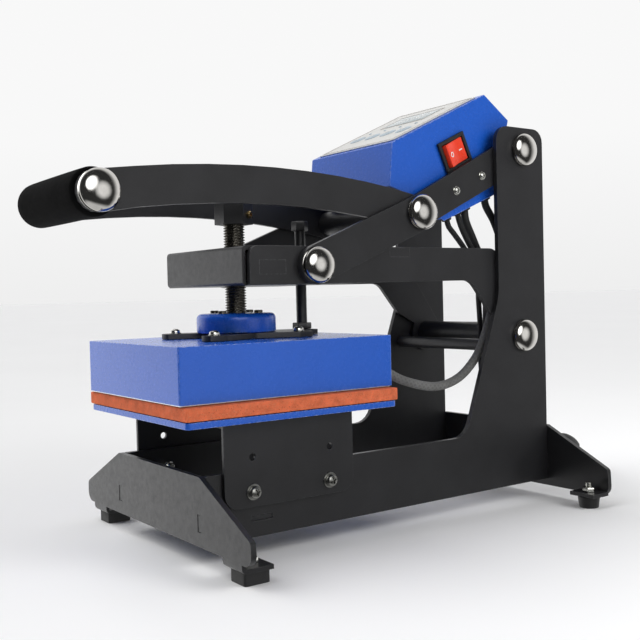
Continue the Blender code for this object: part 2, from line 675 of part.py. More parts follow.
def toggle_links():
    outline = strip([LINK_PIVOT, ELBOW], 0.0138, 0.0142, 0.0142, 10)

    def build(name, sign):
        link = prism(name, "link", "black_paint", "X", outline, *span(sign, INNER, FRAME_HALF))
        drill(link, "link", "X", LINK_PIVOT, HOLE_R, *span(sign, INNER - 0.003, FRAME_HALF + 0.003))
    sides("toggle_link", build)
    rod("link_shaft", "link", "steel", "X", LINK_PIVOT, SHAFT_R, -FRAME_HALF, FRAME_HALF)
    face = FRAME_HALF + GAP
    sides("link_dome", lambda n, s: dome_nut(n, "link", LINK_PIVOT, s, face, HIGH_DOME, 0.0131))
    sides("elbow_dome", lambda n, s: dome_nut(n, "link", ELBOW, s, face, MIDDLE_DOME))


# ---- heated platen ------------------------------------------------------------------------
FLANGE_LOW = COVER_TOP + GAP
FLANGE_HIGH = FLANGE_LOW + 0.0040
COLLAR_TOP = 0.1684
GUIDE_PIN_R = 0.0042
PIN_HEAD_R = 0.0067
PIN_HEAD_LOW, PIN_HEAD_HIGH = 0.2313, 0.2392


def heated_platen():
    wall = 0.0012
    outline = rounded([(-PLATEN_HALF, PLATEN_FRONT, 0.0015), (PLATEN_HALF, PLATEN_FRONT, 0.0015),
                       (PLATEN_HALF, PLATEN_REAR, 0.0015), (-PLATEN_HALF, PLATEN_REAR, 0.0015)], 2)
    cover = prism("platen_cover", "platen", "blue_paint", "Z", outline, COVER_BOTTOM, COVER_TOP)
    low = (wall - PLATEN_HALF, PLATEN_FRONT + wall, COVER_BOTTOM - 0.010)
    high = (PLATEN_HALF - wall, PLATEN_REAR - wall, COVER_TOP - wall)
    cut(cover, block("cover_hollow", "platen", None, low, high))
    drill(cover, "platen", "Y", OUTLET, 0.0042, PLATEN_REAR - 0.006, PLATEN_REAR + 0.004, 14)
    edge = wall + GAP
    plate_low, plate_high = PAD_TOP + GAP, COVER_BOTTOM + 0.0100
    block("heat_plate", "platen", "aluminium",
          (edge - PLATEN_HALF, PLATEN_FRONT + edge, plate_low),
          (PLATEN_HALF - edge, PLATEN_REAR - edge, plate_high))
    block("insulation_blanket", "platen", "insulation",
          (0.004 - PLATEN_HALF, PLATEN_FRONT + 0.004, plate_high + GAP),
          (PLATEN_HALF - 0.004, PLATEN_REAR - 0.012, COVER_TOP - wall - 0.004))
    flange_plate()
    turned("spindle_collar", "platen", "blue_paint", "Z", (0, SPINDLE_Y),
           [(SPINDLE_R + GAP, FLANGE_HIGH + GAP), (0.0300, FLANGE_HIGH + GAP), (0.0300, COLLAR_TOP - 0.0045),
            (0.0290, COLLAR_TOP - 0.0018), (0.0262, COLLAR_TOP), (SPINDLE_R + GAP, COLLAR_TOP)], 32)
    turned("guide_pin", "platen", "black_paint", "Z", (0, GUIDE_PIN_Y),
           [(0, FLANGE_HIGH + GAP), (GUIDE_PIN_R, FLANGE_HIGH + GAP), (GUIDE_PIN_R, PIN_HEAD_LOW),
            (PIN_HEAD_R, PIN_HEAD_LOW), (PIN_HEAD_R, PIN_HEAD_HIGH), (0, PIN_HEAD_HIGH)], 16)


def flange_plate():
    """Four-armed plate that spreads the spindle's load, with a tab for the guide pin."""
    bolt_x, bolt_y = 0.0304, 0.0361
    lobe, waist = 0.0095, 0.0160
    right = [(waist, -lobe * 1.5, 0.004), (bolt_x - lobe * 0.4, -bolt_y - lobe, 0.004),
             (bolt_x + lobe, -bolt_y - lobe, 0.006), (bolt_x + lobe, -bolt_y + lobe * 0.5, 0.004),
             (0.0270, 0, 0.006),
             (bolt_x + lobe, bolt_y - lobe * 0.5, 0.004), (bolt_x + lobe, bolt_y + lobe, 0.006),
             (waist, bolt_y + lobe, 0.003), (0.0090, 0.0705, 0.004)]
    left = [(-x, y, r) for x, y, r in reversed(right)]
    outline = [(x, y + SPINDLE_Y) for x, y in rounded(right + left, 2)]
    prism("flange_plate", "platen", "black_paint", "Z", outline, FLANGE_LOW, FLANGE_HIGH)


def spindle():
    """Pressure spindle as a plain rod of its thread's outside size, with a hexagonal head on top."""
    low, high = FLANGE_HIGH + GAP, 0.2490
    rod("pressure_spindle", "spindle", "oily_steel", "Z", (0, SPINDLE_Y), SPINDLE_R, low, high, 20)
    head = prism("spindle_head", "spindle", "black_paint", "Z",
                 circle(0, SPINDLE_Y, 0.0146, 6), 0.2350, 0.2515)
    drill(head, "spindle", "Z", (0, SPINDLE_Y), SPINDLE_R + GAP, 0.2300, 0.2493, 20)


# ---- leads and mains cord -----------------------------------------------------------------
OUTLET = (0.0450, 0.1255)           # heater lead's hole in the cover, (x, z)
GLAND_CENTRE = (0.0400, 0.0440)     # (x, z) in the rear foot plate
GLAND_R = 0.0080
GLAND_INSIDE = REAR_PLATE_FRONT - 0.0100
RELIEF_END = 0.2450
LEAD_R = 0.0032


def leads():
    """The mains lead hangs from the box down to the gland. The heater lead comes out of the box
    beside it and goes on in a braided sleeve to the heated platen."""
    x, (y, z) = LEAD_HOLES[0]
    cable("mains_lead_inside", "handle", "black_rubber",
          [(x, y, z + 0.003), (x, y + 0.0015, z - 0.0100), (x - 0.0005, 0.1430, 0.2240),
           (0.0450, 0.1540, 0.2050), (0.0420, 0.1620, 0.1800), (0.0390, 0.1643, 0.1500),
           (0.0375, 0.1643, 0.1200), (0.0372, 0.1630, 0.0950), (0.0375, 0.1650, 0.0700),
           (0.0388, 0.1760, 0.0510), (GLAND_CENTRE[0], GLAND_INSIDE - 0.0100, GLAND_CENTRE[1]),
           (GLAND_CENTRE[0], GLAND_INSIDE - 3 * GAP, GLAND_CENTRE[1])],
          LEAD_R, 0.0085)
    x, (y, z) = LEAD_HOLES[1]
    join_y, join_z = 0.1700, 0.2000
    cable("heater_lead_swing", "handle", "black_rubber",
          [(x, y, z + 0.003), (x + 0.0002, y + 0.0015, z - 0.0070), (0.0485, 0.1660, 0.2400),
           (0.0500, 0.1720, 0.2230), (0.0505, 0.1715, 0.2110), (0.0505, join_y, join_z + GAP)],
          LEAD_R, 0.0075)
    cable("heater_lead_sleeved", "arm", "grey_sleeve",
          [(OUTLET[0], PLATEN_REAR + 0.0010, OUTLET[1]), (OUTLET[0], PLATEN_REAR + 0.010, OUTLET[1] - 0.002),
           (0.0480, 0.0600, 0.1110), (0.0520, 0.0900, 0.1040), (0.0535, 0.1150, 0.1090),
           (0.0538, 0.1350, 0.1240), (0.0535, 0.1465, 0.1410), (0.0522, 0.1560, 0.1600),
           (0.0510, 0.1645, 0.1800), (0.0505, join_y, join_z)],
          0.0035, 0.0085)


# ---- mains cord ---------------------------------------------------------------------------
CORD_R = 0.0035
COIL_CENTRE = (-0.0150, 0.2880)
COIL_MID_R = 0.0385
COIL_HALF = 0.0070
COIL_TOP = 0.0245
CORD_EXIT = (GLAND_CENTRE[0], RELIEF_END, GLAND_CENTRE[1])


def gland_and_cord():
    """Gland in the rear foot plate with its tapered relief, the free mains cord, its coil and plug."""
    turned("cord_gland", "frame", "black_plastic", "Y", GLAND_CENTRE,
           [(0, GLAND_INSIDE), (GLAND_R, GLAND_INSIDE), (GLAND_R, FRAME_REAR + GAP),
            (0.0105, FRAME_REAR + GAP), (0.0105, FRAME_REAR + 0.0045), (0.0066, FRAME_REAR + 0.0060),
            (0.0044, RELIEF_END), (0, RELIEF_END)], 20)
    edge = 0.0020
    inner, outer = COIL_MID_R - COIL_HALF, COIL_MID_R + COIL_HALF
    turned("cord_coil", "frame", "black_rubber", "Z", COIL_CENTRE,
           [(inner, edge), (inner + edge, 0), (outer - edge, 0), (outer, edge),
            (outer, COIL_TOP - edge), (outer - edge, COIL_TOP), (inner + edge, COIL_TOP),
            (inner, COIL_TOP - edge)], 32)
    x, y, z = CORD_EXIT
    cable("mains_cord", "frame", "black_rubber",
          [(x, y + GAP, z), (x, 0.2533, 0.0437), (0.0394, 0.2663, 0.0415), (0.0370, 0.2790, 0.0362),
           (0.0325, 0.2920, 0.0312), (0.0265, 0.3030, 0.0292)],
          CORD_R, 0.0080)
    plug()


def plug():
    """Moulded plug that lies on the floor at the far end of the cord."""
    body = rounded([(-0.0855, 0.2530, 0.004), (-0.0645, 0.2530, 0.004), (-0.0690, 0.2900, 0.003),
                    (-0.0810, 0.2900, 0.003)], 3)
    prism("mains_plug", "frame", "black_rubber", "Z", body, 0.0, 0.0200)


make_pivots()
side_plates()
foot_plates()
feet()
base_cross_plate()
shafts_and_domes()
platen_bracket()
lower_platen()
handle_bars()
control_box()
press_arm()
toggle_links()
heated_platen()
spindle()
leads()
gland_and_cord()
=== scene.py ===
"""Looks of the small clamshell heat press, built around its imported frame.

Metres, in the frame's own coordinates: +Z up, +Y to the rear, +X to the side with the switch.
"""

import json
from itertools import product
from math import ceil, cos, pi, radians, sin, tan

import bmesh
import bpy
from mathutils import Matrix, Vector, noise


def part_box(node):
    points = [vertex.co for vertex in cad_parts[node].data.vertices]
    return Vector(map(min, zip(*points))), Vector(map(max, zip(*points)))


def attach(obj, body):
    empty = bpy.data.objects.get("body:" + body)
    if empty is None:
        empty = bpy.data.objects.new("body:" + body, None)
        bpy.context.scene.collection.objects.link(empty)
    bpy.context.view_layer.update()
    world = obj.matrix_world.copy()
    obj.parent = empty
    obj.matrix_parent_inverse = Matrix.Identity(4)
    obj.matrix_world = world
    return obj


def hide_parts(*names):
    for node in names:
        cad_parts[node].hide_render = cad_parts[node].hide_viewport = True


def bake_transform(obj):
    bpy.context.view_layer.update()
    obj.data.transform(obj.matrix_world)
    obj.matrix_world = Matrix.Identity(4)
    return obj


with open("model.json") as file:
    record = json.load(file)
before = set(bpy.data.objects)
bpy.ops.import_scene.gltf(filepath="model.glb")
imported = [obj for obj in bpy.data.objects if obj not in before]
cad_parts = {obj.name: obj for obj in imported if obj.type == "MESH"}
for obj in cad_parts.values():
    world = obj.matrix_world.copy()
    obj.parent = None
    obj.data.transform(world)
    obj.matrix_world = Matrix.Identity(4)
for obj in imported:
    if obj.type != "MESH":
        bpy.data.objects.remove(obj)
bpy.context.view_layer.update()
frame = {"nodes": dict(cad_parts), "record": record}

BODY_OF = {node: body for body, nodes in frame["record"]["behaviour"]["bodies"].items() for node in nodes}
SLOT_OF = {row["node"]: row["material_slot"] for row in frame["record"]["subparts"]}

# pivots and axes, as (y, z)
HANDLE_PIVOT = (0.185, 0.2998)
ARM_PIVOT = (0.182, 0.1418)
ELBOW = (0.0672, 0.2432)
LINK_PIVOT = (-0.0342, 0.2021)
GRIP_AXIS = (-0.1944, 0.2492)
STAY_BAR = (0.1526, 0.1345)
SPINDLE_Y, GUIDE_PIN_Y = -0.0633, -0.003

# domes: where they stand, their radii and their heights
FRAME_FACE, BAR_FACE = 0.0663, 0.058
DOME_R, FLAT_DOME_R, LINK_DOME_R = 0.01375, 0.0095, 0.0131
FLAT_DOME, LOW_DOME, MIDDLE_DOME, HIGH_DOME = 0.0042, 0.0078, 0.009, 0.01

# round bars: radii and half lengths
SHAFT_R, STAY_R, TUBE_R = 0.006, 0.005, 0.0105
SLEEVE_R, SLEEVE_BORE = 0.011, 0.0063
SHAFT_HALF, STAY_HALF, TUBE_HALF = 0.066, 0.0617, 0.0574
GRIP_HALF, GRIP_ROD_HALF = 0.0527, 0.0573

# platen's flange and collar, and the guide pin's head
FLANGE_TOP, COLLAR_LOW, COLLAR_HIGH = 0.1536, 0.154, 0.1684
PIN_LOW, PIN_HEAD_LOW, PIN_HEAD_HIGH = 0.1539, 0.2314, 0.2391

# feet and control box
FRONT_FOOT, REAR_FOOT = Vector((0.106, -0.1205, 0.0115)), Vector((0.117, 0.2, 0.0125))
BOX_HALF = 0.054
SLOPE = radians(25)
SWITCH = (0.115, 0.2944)
LID_LOW, LID_HIGH = Vector((0.0492, 0.298)), Vector((0.1517, 0.3457))
UNDER_START, UNDER_RISE, UNDER_TILT = (0.103, 0.2382), 0.4027, radians(21.9)

# mains cord and its coil
GLAND = Vector((0.04, 0.245, 0.044))
COIL_CENTRE = Vector((-0.015, 0.288, 0.0))
CORD_R, CORD_LENGTH = 0.0035, 1.39
X, Y, Z = Vector((1, 0, 0)), Vector((0, 1, 0)), Vector((0, 0, 1))
ORIGIN = Matrix.Identity(4)


def added(name, data):
    """New object in the scene that shows some data."""
    obj = bpy.data.objects.new(name, data)
    bpy.context.collection.objects.link(obj)
    return obj


# ---- camera ----
def add_camera():
    """Camera at the front right of the press, turned by its azimuth, pitch and roll."""
    place = (0.60811, -0.42136, 0.18085)
    azimuth, pitch, roll = radians(54.35), radians(1.58), radians(-1.39)
    ahead = Vector((-sin(azimuth) * cos(pitch), cos(azimuth) * cos(pitch), -sin(pitch)))
    right = Vector((cos(azimuth), sin(azimuth), 0))
    up = right.cross(ahead)
    side = cos(roll) * right + sin(roll) * up
    top = cos(roll) * up - sin(roll) * right
    camera = added("camera", bpy.data.cameras.new("camera"))
    camera.data.sensor_width = 36
    camera.data.lens = 52.09
    camera.data.clip_start = 0.01
    turn = Matrix((side, top, -ahead)).transposed().to_4x4()
    camera.matrix_world = Matrix.Translation(place) @ turn
    bpy.context.scene.camera = camera


# ---- materials ----
def add_node(tree, kind, inputs=None, **settings):
    made = tree.nodes.new("ShaderNode" + kind)
    for key, value in settings.items():
        setattr(made, key, value)
    for socket, source in (inputs or {}).items():
        if isinstance(source, bpy.types.NodeSocket):
            tree.links.new(source, made.inputs[socket])
        else:
            made.inputs[socket].default_value = source
    return made


def mixed(tree, factor, first, second):
    """Colour between first and second by factor."""
    def colour(value):
        return value if isinstance(value, bpy.types.NodeSocket) else (*value, 1.0)
    made = add_node(tree, "Mix", {0: factor, 6: colour(first), 7: colour(second)}, data_type="RGBA")
    return made.outputs[2]


def ranged(tree, value, low, high, to_low=0.0, to_high=1.0):
    made = add_node(tree, "MapRange", {"Value": value, "From Min": low, "From Max": high,
                                                 "To Min": to_low, "To Max": to_high})
    return made.outputs["Result"]


def clouds(tree, coords, scale, detail=3.0, stretch=None):
    if stretch:
        coords = add_node(tree, "Mapping", {"Vector": coords, "Scale": stretch}).outputs["Vector"]
    return add_node(tree, "TexNoise", {"Vector": coords, "Scale": scale, "Detail": detail,
                                                 "Roughness": 0.6}).outputs["Fac"]


def times(tree, a, b, operation="MULTIPLY"):
    return add_node(tree, "Math", {0: a, 1: b}, operation=operation).outputs[0]


def edge_mask(tree, reach):
    """1 on a piece's worn edges, 0 on its flats: how far a rounded normal turns from the true one."""
    soft = add_node(tree, "Bevel", {"Radius": reach}, samples=4).outputs["Normal"]
    true = add_node(tree, "NewGeometry").outputs["Normal"]
    facing = add_node(tree, "VectorMath", {0: soft, 1: true}, operation="DOT_PRODUCT").outputs["Value"]
    return ranged(tree, facing, 0.995, 0.9)


def finish(name, colour, roughness, metallic=0.0, blotch=0.1, spread=0.06, cloud_scale=32,
           grain=None, scratch=None, edge=None, chips=None, specks=(), specular=0.5):
    """Procedural finish. grain is (scale, depth), scratch (scale, stretch, depth), edge (colour, reach,
    amount), chips and each of specks (scale, threshold, colour)."""
    material = bpy.data.materials.new(name)
    material.use_nodes = True
    tree = material.node_tree
    shader = tree.nodes["Principled BSDF"]
    shader.inputs["Metallic"].default_value = metallic
    shader.inputs["Specular IOR Level"].default_value = specular
    coords = add_node(tree, "TexCoord").outputs["Object"]
    cloud = clouds(tree, coords, cloud_scale, 5.0)
    dark = [c * (1 - blotch) for c in colour]
    light = [min(1.0, c * (1 + blotch)) for c in colour]
    shade = mixed(tree, ranged(tree, cloud, 0.3, 0.7), dark, light)
    for scale, threshold, tint in specks:
        dots = ranged(tree, clouds(tree, coords, scale, 2.0), threshold, threshold + 0.05)
        shade = mixed(tree, dots, shade, tint)
    if edge:
        tint, reach, amount = edge
        broken = ranged(tree, clouds(tree, coords, 420, 3.0), 0.4, 0.62)
        worn = times(tree, times(tree, edge_mask(tree, reach), broken), amount)
        shade = mixed(tree, worn, shade, tint)
    if chips:
        scale, threshold, tint = chips
        chipped = ranged(tree, clouds(tree, coords, scale, 4.0), threshold, threshold + 0.015)
        shade = mixed(tree, chipped, shade, tint)
    tree.links.new(shade, shader.inputs["Base Color"])
    fine = clouds(tree, coords, cloud_scale * 9, 4.0)
    gloss = ranged(tree, fine, 0.25, 0.75, roughness - spread, roughness + spread)
    tree.links.new(gloss, shader.inputs["Roughness"])
    normal = None
    if grain:
        scale, depth = grain
        bumps = clouds(tree, coords, scale, 2.0)
        normal = add_node(tree, "Bump", {"Height": bumps, "Distance": depth, "Strength": 0.8})
    if scratch:
        scale, stretch, depth = scratch
        lines = clouds(tree, coords, scale, 4.0, stretch)
        made = add_node(tree, "Bump", {"Height": lines, "Distance": depth, "Strength": 0.6})
        if normal:
            tree.links.new(normal.outputs["Normal"], made.inputs["Normal"])
        normal = made
    if normal:
        tree.links.new(normal.outputs["Normal"], shader.inputs["Normal"])
    return material


def braid(name, colour):
    """Woven sleeve: two sets of crossing strands, from the tube's own UV map."""
    material = finish(name, colour, 0.75, blotch=0.25, grain=(1900, 0.00012))
    tree = material.node_tree
    shader = tree.nodes["Principled BSDF"]
    uv = add_node(tree, "UVMap").outputs["UV"]
    strands = []
    for turn in (1, -1):
        turned_uv = add_node(tree, "Mapping", {"Vector": uv, "Rotation": (0, 0, turn * pi / 4)})
        wave = add_node(tree, "TexWave", {"Vector": turned_uv.outputs["Vector"], "Scale": 2.4})
        strands.append(wave.outputs["Fac"])
    weave = times(tree, strands[0], strands[1], "MAXIMUM")
    bump = add_node(tree, "Bump", {"Height": weave, "Distance": 0.0004, "Strength": 0.7})
    tree.links.new(shader.inputs["Normal"].links[0].from_socket, bump.inputs["Normal"])
    tree.links.new(bump.outputs["Normal"], shader.inputs["Normal"])
    base = shader.inputs["Base Color"].links[0].from_socket
    tree.links.new(mixed(tree, ranged(tree, weave, 0.2, 0.9, 0.35, 0.0), base, (0.06, 0.06, 0.055)),
                   shader.inputs["Base Color"])
    return material


MATERIALS = {
    "black_paint": finish("black_powder_coat", (0.015, 0.015, 0.0165), 0.4, blotch=0.22, spread=0.07,
        grain=(1500, 0.00011), edge=((0.13, 0.13, 0.135), 0.0007, 0.55),
        chips=(260, 0.795, (0.55, 0.56, 0.56)), specular=0.45),
    "blue_paint": finish("blue_powder_coat", (0.01, 0.102, 0.55), 0.27, blotch=0.03, spread=0.02,
        grain=(1500, 0.000008), edge=((0.7, 0.77, 0.9), 0.0008, 0.8),
        chips=(240, 0.83, (0.45, 0.55, 0.78))),
    "stainless": finish("polished_stainless", (0.56, 0.545, 0.52), 0.11, 1.0, blotch=0.1, spread=0.05,
        cloud_scale=90, scratch=(500, (1.0, 6.0, 6.0), 0.00002)),
    "plain_steel": finish("turned_steel", (0.36, 0.35, 0.33), 0.34, 1.0,
        scratch=(700, (12, 1.0, 1.0), 0.00004)),
    "zinc": finish("zinc_plated", (0.66, 0.66, 0.62), 0.24, 1.0, blotch=0.18, cloud_scale=160,
        grain=(1600, 0.00003)),
    "brass": finish("brass", (0.62, 0.45, 0.2), 0.28, 1.0, blotch=0.2, cloud_scale=200),
    "oily_steel": finish("oiled_thread", (0.095, 0.088, 0.074), 0.3, 0.9, blotch=0.35, spread=0.1,
        cloud_scale=120, edge=((0.5, 0.47, 0.4), 0.0004, 0.9), grain=(1500, 0.00008)),
    "aluminium": finish("machined_aluminium", (0.66, 0.66, 0.66), 0.3, 1.0,
        scratch=(600, (1.0, 14, 1.0), 0.00004)),
    "silicone_sponge": finish("silicone_sponge", (0.7, 0.158, 0.068), 0.88, blotch=0.2, cloud_scale=150,
        grain=(1250, 0.00045),
        specks=[(1500, 0.6, (0.7, 0.26, 0.14)), (1100, 0.64, (0.3, 0.045, 0.02))],
        specular=0.25),
    "black_rubber": finish("black_rubber", (0.0125, 0.0125, 0.013), 0.62, blotch=0.25,
        grain=(1700, 0.0001)),
    "foam": finish("foam_rubber", (0.004, 0.004, 0.0042), 0.9, blotch=0.3, grain=(2200, 0.00012),
        specular=0.06),
    "dark_zinc": finish("dark_zinc", (0.24, 0.24, 0.225), 0.33, 1.0, blotch=0.25, cloud_scale=220,
        grain=(1600, 0.00004)),
    "black_plastic": finish("black_plastic", (0.015, 0.015, 0.016), 0.42, blotch=0.15,
        grain=(2400, 0.00006)),
    "red_plastic": finish("red_plastic", (0.86, 0.052, 0.018), 0.26, blotch=0.05, spread=0.04,
        grain=(900, 0.00002), specular=0.4),
    "grey_film": finish("membrane_film", (0.64, 0.635, 0.61), 0.38, blotch=0.03, grain=(2600, 0.00005)),
    "grey_sleeve": braid("braided_sleeve", (0.15, 0.15, 0.145)),
    "circuit_board": finish("circuit_board", (0.01, 0.09, 0.035), 0.35, grain=(700, 0.0001),
        specks=[(620, 0.66, (0.45, 0.33, 0.1))]),
    "insulation": finish("mineral_blanket", (0.7, 0.68, 0.6), 0.95, blotch=0.15, grain=(420, 0.001)),
    "white_print": finish("white_print", (0.8, 0.8, 0.78), 0.45, blotch=0.04, grain=(2000, 0.00002)),
    "pale_window": finish("display_window", (0.46, 0.52, 0.54), 0.16, blotch=0.05, grain=(500, 0.00001)),
    "pastel_print": finish("pastel_print", (0.42, 0.5, 0.56), 0.4, blotch=0.1, grain=(2000, 0.00002)),
    "grey_print": finish("grey_print", (0.36, 0.33, 0.3), 0.45, blotch=0.06, grain=(2000, 0.00002)),
}

SLOT_FOR = {"zinc": "plain_steel", "dark_zinc": "plain_steel", "brass": "plain_steel", "foam": "black_rubber",
            "grey_print": "grey_film", "pale_window": "grey_film", "pastel_print": "grey_film"}


# ---- shape helpers ----
def facing(point, direction, up=Z):
    """Matrix at a point whose Z looks along direction."""
    z = Vector(direction).normalized()
    x = Vector(up).cross(z)
    x = X.copy() if x.length < 1e-6 else x.normalized()
    turn = Matrix((x, z.cross(x), z)).transposed().to_4x4()
    return Matrix.Translation(point) @ turn


def moved(at, x, y, z):
    return at @ Matrix.Translation((x, y, z))


def on_side(sign, place, face):
    """Matrix on the side of the press at a (y, z) place, looking outwards from x = sign * face."""
    return facing((sign * face, *place), (sign, 0, 0))


def make(name, bm, body, material, smooth=32, slot=None, replaces=None):
    """Turn a bmesh in the frame's coordinates into a piece that rides on a body and may replace a node."""
    bmesh.ops.recalc_face_normals(bm, faces=bm.faces)
    mesh = bpy.data.meshes.new(name)
    bm.to_mesh(mesh)
    bm.free()
    mesh.shade_smooth()
    mesh.set_sharp_from_angle(angle=radians(smooth))
    obj = added(name, mesh)
    mesh.materials.append(MATERIALS[material])
    if body:
        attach(obj, body)
    slot = slot or SLOT_FOR.get(material, material if material in SLOT_OF.values() else None)
    if replaces:
        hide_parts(replaces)
    return obj


def rounded(corners, steps=6):
    """Outline through (u, v, radius) corners, each rounded with an arc of its radius."""
    outline = []
    for i, (u, v, radius) in enumerate(corners):
        here = Vector((u, v))
        if radius == 0:
            outline.append(here)
            continue
        back = (Vector(corners[i - 1][:2]) - here).normalized()
        ahead = (Vector(corners[(i + 1) % len(corners)][:2]) - here).normalized()
        half = back.angle(ahead) / 2
        centre = here + (back + ahead).normalized() * (radius / sin(half))
        first = here + back * (radius / tan(half)) - centre
        last = here + ahead * (radius / tan(half)) - centre
        turn = first.angle_signed(last)
        for step in range(steps + 1):
            outline.append(centre + Matrix.Rotation(-turn * step / steps, 2) @ first)
    return outline


def rectangle(half_u, half_v, radius=0.0, steps=5):
    return rounded([(-half_u, -half_v, radius), (half_u, -half_v, radius), (half_u, half_v, radius),
                    (-half_u, half_v, radius)], steps)


def ring_points(radius, steps):
    angles = [2 * pi * i / steps for i in range(steps)]
    return [Vector((radius * cos(a), radius * sin(a))) for a in angles]


def ring(bm, at, outline, height):
    """Vertices of an outline, at a height along the matrix's Z."""
    return [bm.verts.new(at @ Vector((p[0], p[1], height))) for p in outline]


def bridge(bm, a, b):
    """Faces between two rings of as many vertices."""
    for i in range(len(a)):
        j = (i + 1) % len(a)
        bm.faces.new((a[i], a[j], b[j], b[i]))


def add_turned(bm, at, profile, steps=48):
    """Revolve (radius, height) pairs about the matrix's Z. Starts and ends on radius 0, or is a loop."""
    rings = []
    for radius, height in profile:
        points = [Vector((0, 0))] if radius == 0 else ring_points(radius, steps)
        rings.append(ring(bm, at, points, height))
    pairs = list(zip(rings, rings[1:]))
    if profile[0][0] > 0:
        pairs.append((rings[-1], rings[0]))
    for a, b in pairs:
        for i in range(steps):
            j = (i + 1) % steps
            corners = [a[i % len(a)], a[j % len(a)], b[j % len(b)], b[i % len(b)]]
            bm.faces.new(list(dict.fromkeys(corners)))


def add_prism(bm, at, outline, low, high, bevel=0.0, segments=2):
    """Extrude an outline along the matrix's Z, with its rims bevelled."""
    bottom, top = ring(bm, at, outline, low), ring(bm, at, outline, high)
    faces = [bm.faces.new(bottom), bm.faces.new(top)]
    bridge(bm, bottom, top)
    if bevel:
        rims = [e for f in faces for e in f.edges]
        bmesh.ops.bevel(bm, geom=rims, offset=bevel, segments=segments, profile=0.5, affect="EDGES",
                        clamp_overlap=True)


def hexagon(across):
    return ring_points(across / 2 / cos(pi / 6), 6)


def add_mesh(bm, mesh, at):
    """Add a copy of a template mesh, placed by a matrix."""
    older = set(bm.verts)
    bm.from_mesh(mesh)
    for vert in bm.verts:
        if vert not in older:
            vert.co = at @ vert.co


def carved(solid, cutters):
    """Mesh of a solid bmesh with cutter bmeshes taken out of it, for use as a template."""
    made = []
    for shape in [solid, *cutters]:
        bmesh.ops.recalc_face_normals(shape, faces=shape.faces)
        mesh = bpy.data.meshes.new("template")
        shape.to_mesh(mesh)
        shape.free()
        made.append(added("template", mesh))
    for cutter in made[1:]:
        modifier = made[0].modifiers.new("cut", "BOOLEAN")
        modifier.solver = "EXACT"
        modifier.object = cutter
    graph = bpy.context.evaluated_depsgraph_get()
    result = bpy.data.meshes.new_from_object(made[0].evaluated_get(graph))
    for obj in made:
        bpy.data.objects.remove(obj, do_unlink=True)
    return result


def phillips_head(radius, height):
    """Pan head with a cross recess; its seat is at height 0."""
    head = bmesh.new()
    profile = [(0, 0), (radius, 0), (radius, height * 0.35)]
    angles = [radians(15 * k) for k in range(1, 6)]
    profile += [(radius * cos(a), height * (0.35 + 0.65 * sin(a))) for a in angles]
    add_turned(head, ORIGIN, profile + [(0, height)], 32)
    cutters = []
    for turn in (0, pi / 2):
        blade = bmesh.new()
        at = Matrix.Rotation(turn + radians(20), 4, "Z")
        add_prism(blade, at, rectangle(radius * 0.62, radius * 0.13), height * 0.35, height * 1.5)
        cutters.append(blade)
    return carved(head, cutters)


def socket_head(radius, height):
    """Cap screw with a hexagon socket; its seat is at height 0."""
    head = bmesh.new()
    rim = radius * 0.12
    add_turned(head, ORIGIN, [(0, 0), (radius, 0), (radius, height - rim), (radius - rim, height),
                                          (0, height)], 32)
    socket = bmesh.new()
    add_prism(socket, ORIGIN, hexagon(radius * 0.95), height * 0.4, height * 1.5)
    return carved(head, [socket])


def hex_nut(across, height, bore):
    nut = bmesh.new()
    add_prism(nut, ORIGIN, hexagon(across), 0, height, bevel=across * 0.04)
    hole = bmesh.new()
    add_prism(hole, ORIGIN, ring_points(bore, 24), -height, height * 2)
    return carved(nut, [hole])


def add_washer(bm, at, inner, outer, low, high):
    rim = min(0.0002, (high - low) / 3)
    add_turned(bm, at, [(inner, low), (outer - rim, low), (outer, low + rim), (outer, high - rim),
                        (outer - rim, high), (inner, high)], 32)


def smooth_route(points, spacing):
    """Even points along a Catmull-Rom curve through a cord's own points."""
    pts = [Vector(p) for p in points]
    pts = [2 * pts[0] - pts[1]] + pts + [2 * pts[-1] - pts[-2]]
    fine = []
    for a, b, c, d in zip(pts, pts[1:], pts[2:], pts[3:]):
        for k in range(24):
            t = k / 24
            fine.append(0.5 * (2 * b + (c - a) * t + (2 * a - 5 * b + 4 * c - d) * t * t
                               + (3 * b - a - 3 * c + d) * t ** 3))
    fine.append(pts[-2])
    length = sum((q - p).length for p, q in zip(fine, fine[1:]))
    count = ceil(length / spacing)
    route, walked, goal = [fine[0]], 0.0, length / count
    for p, q in zip(fine, fine[1:]):
        step = (q - p).length
        while len(route) < count and walked + step >= goal * len(route):
            route.append(p.lerp(q, (goal * len(route) - walked) / step))
        walked += step
    route.append(fine[-1])
    return route


def add_tube(bm, route, radius, steps=20):
    """Closed tube along a route, with a UV map that runs along it and round it."""
    uv_layer = bm.loops.layers.uv.verify()
    rings, walked = [], [0.0]
    side = None
    for i, here in enumerate(route):
        tangent = (route[min(i + 1, len(route) - 1)] - route[max(i - 1, 0)]).normalized()
        if side is None:
            side = tangent.orthogonal().normalized()
        side = (side - tangent * side.dot(tangent)).normalized()
        other = tangent.cross(side)
        rings.append([bm.verts.new(here + (side * cos(a) + other * sin(a)) * radius)
                      for a in (2 * pi * k / steps for k in range(steps))])
        if i:
            walked.append(walked[-1] + (here - route[i - 1]).length)
    around = 2 * pi * radius
    for i in range(len(rings) - 1):
        for k in range(steps):
            j = (k + 1) % steps
            face = bm.faces.new((rings[i][k], rings[i][j], rings[i + 1][j], rings[i + 1][k]))
            spots = ((i, k), (i, k + 1), (i + 1, k + 1), (i + 1, k))
            for loop, (row, turn) in zip(face.loops, spots):
                loop[uv_layer].uv = (walked[row] / around, turn / steps)
    bm.faces.new(rings[0])
    bm.faces.new(rings[-1])


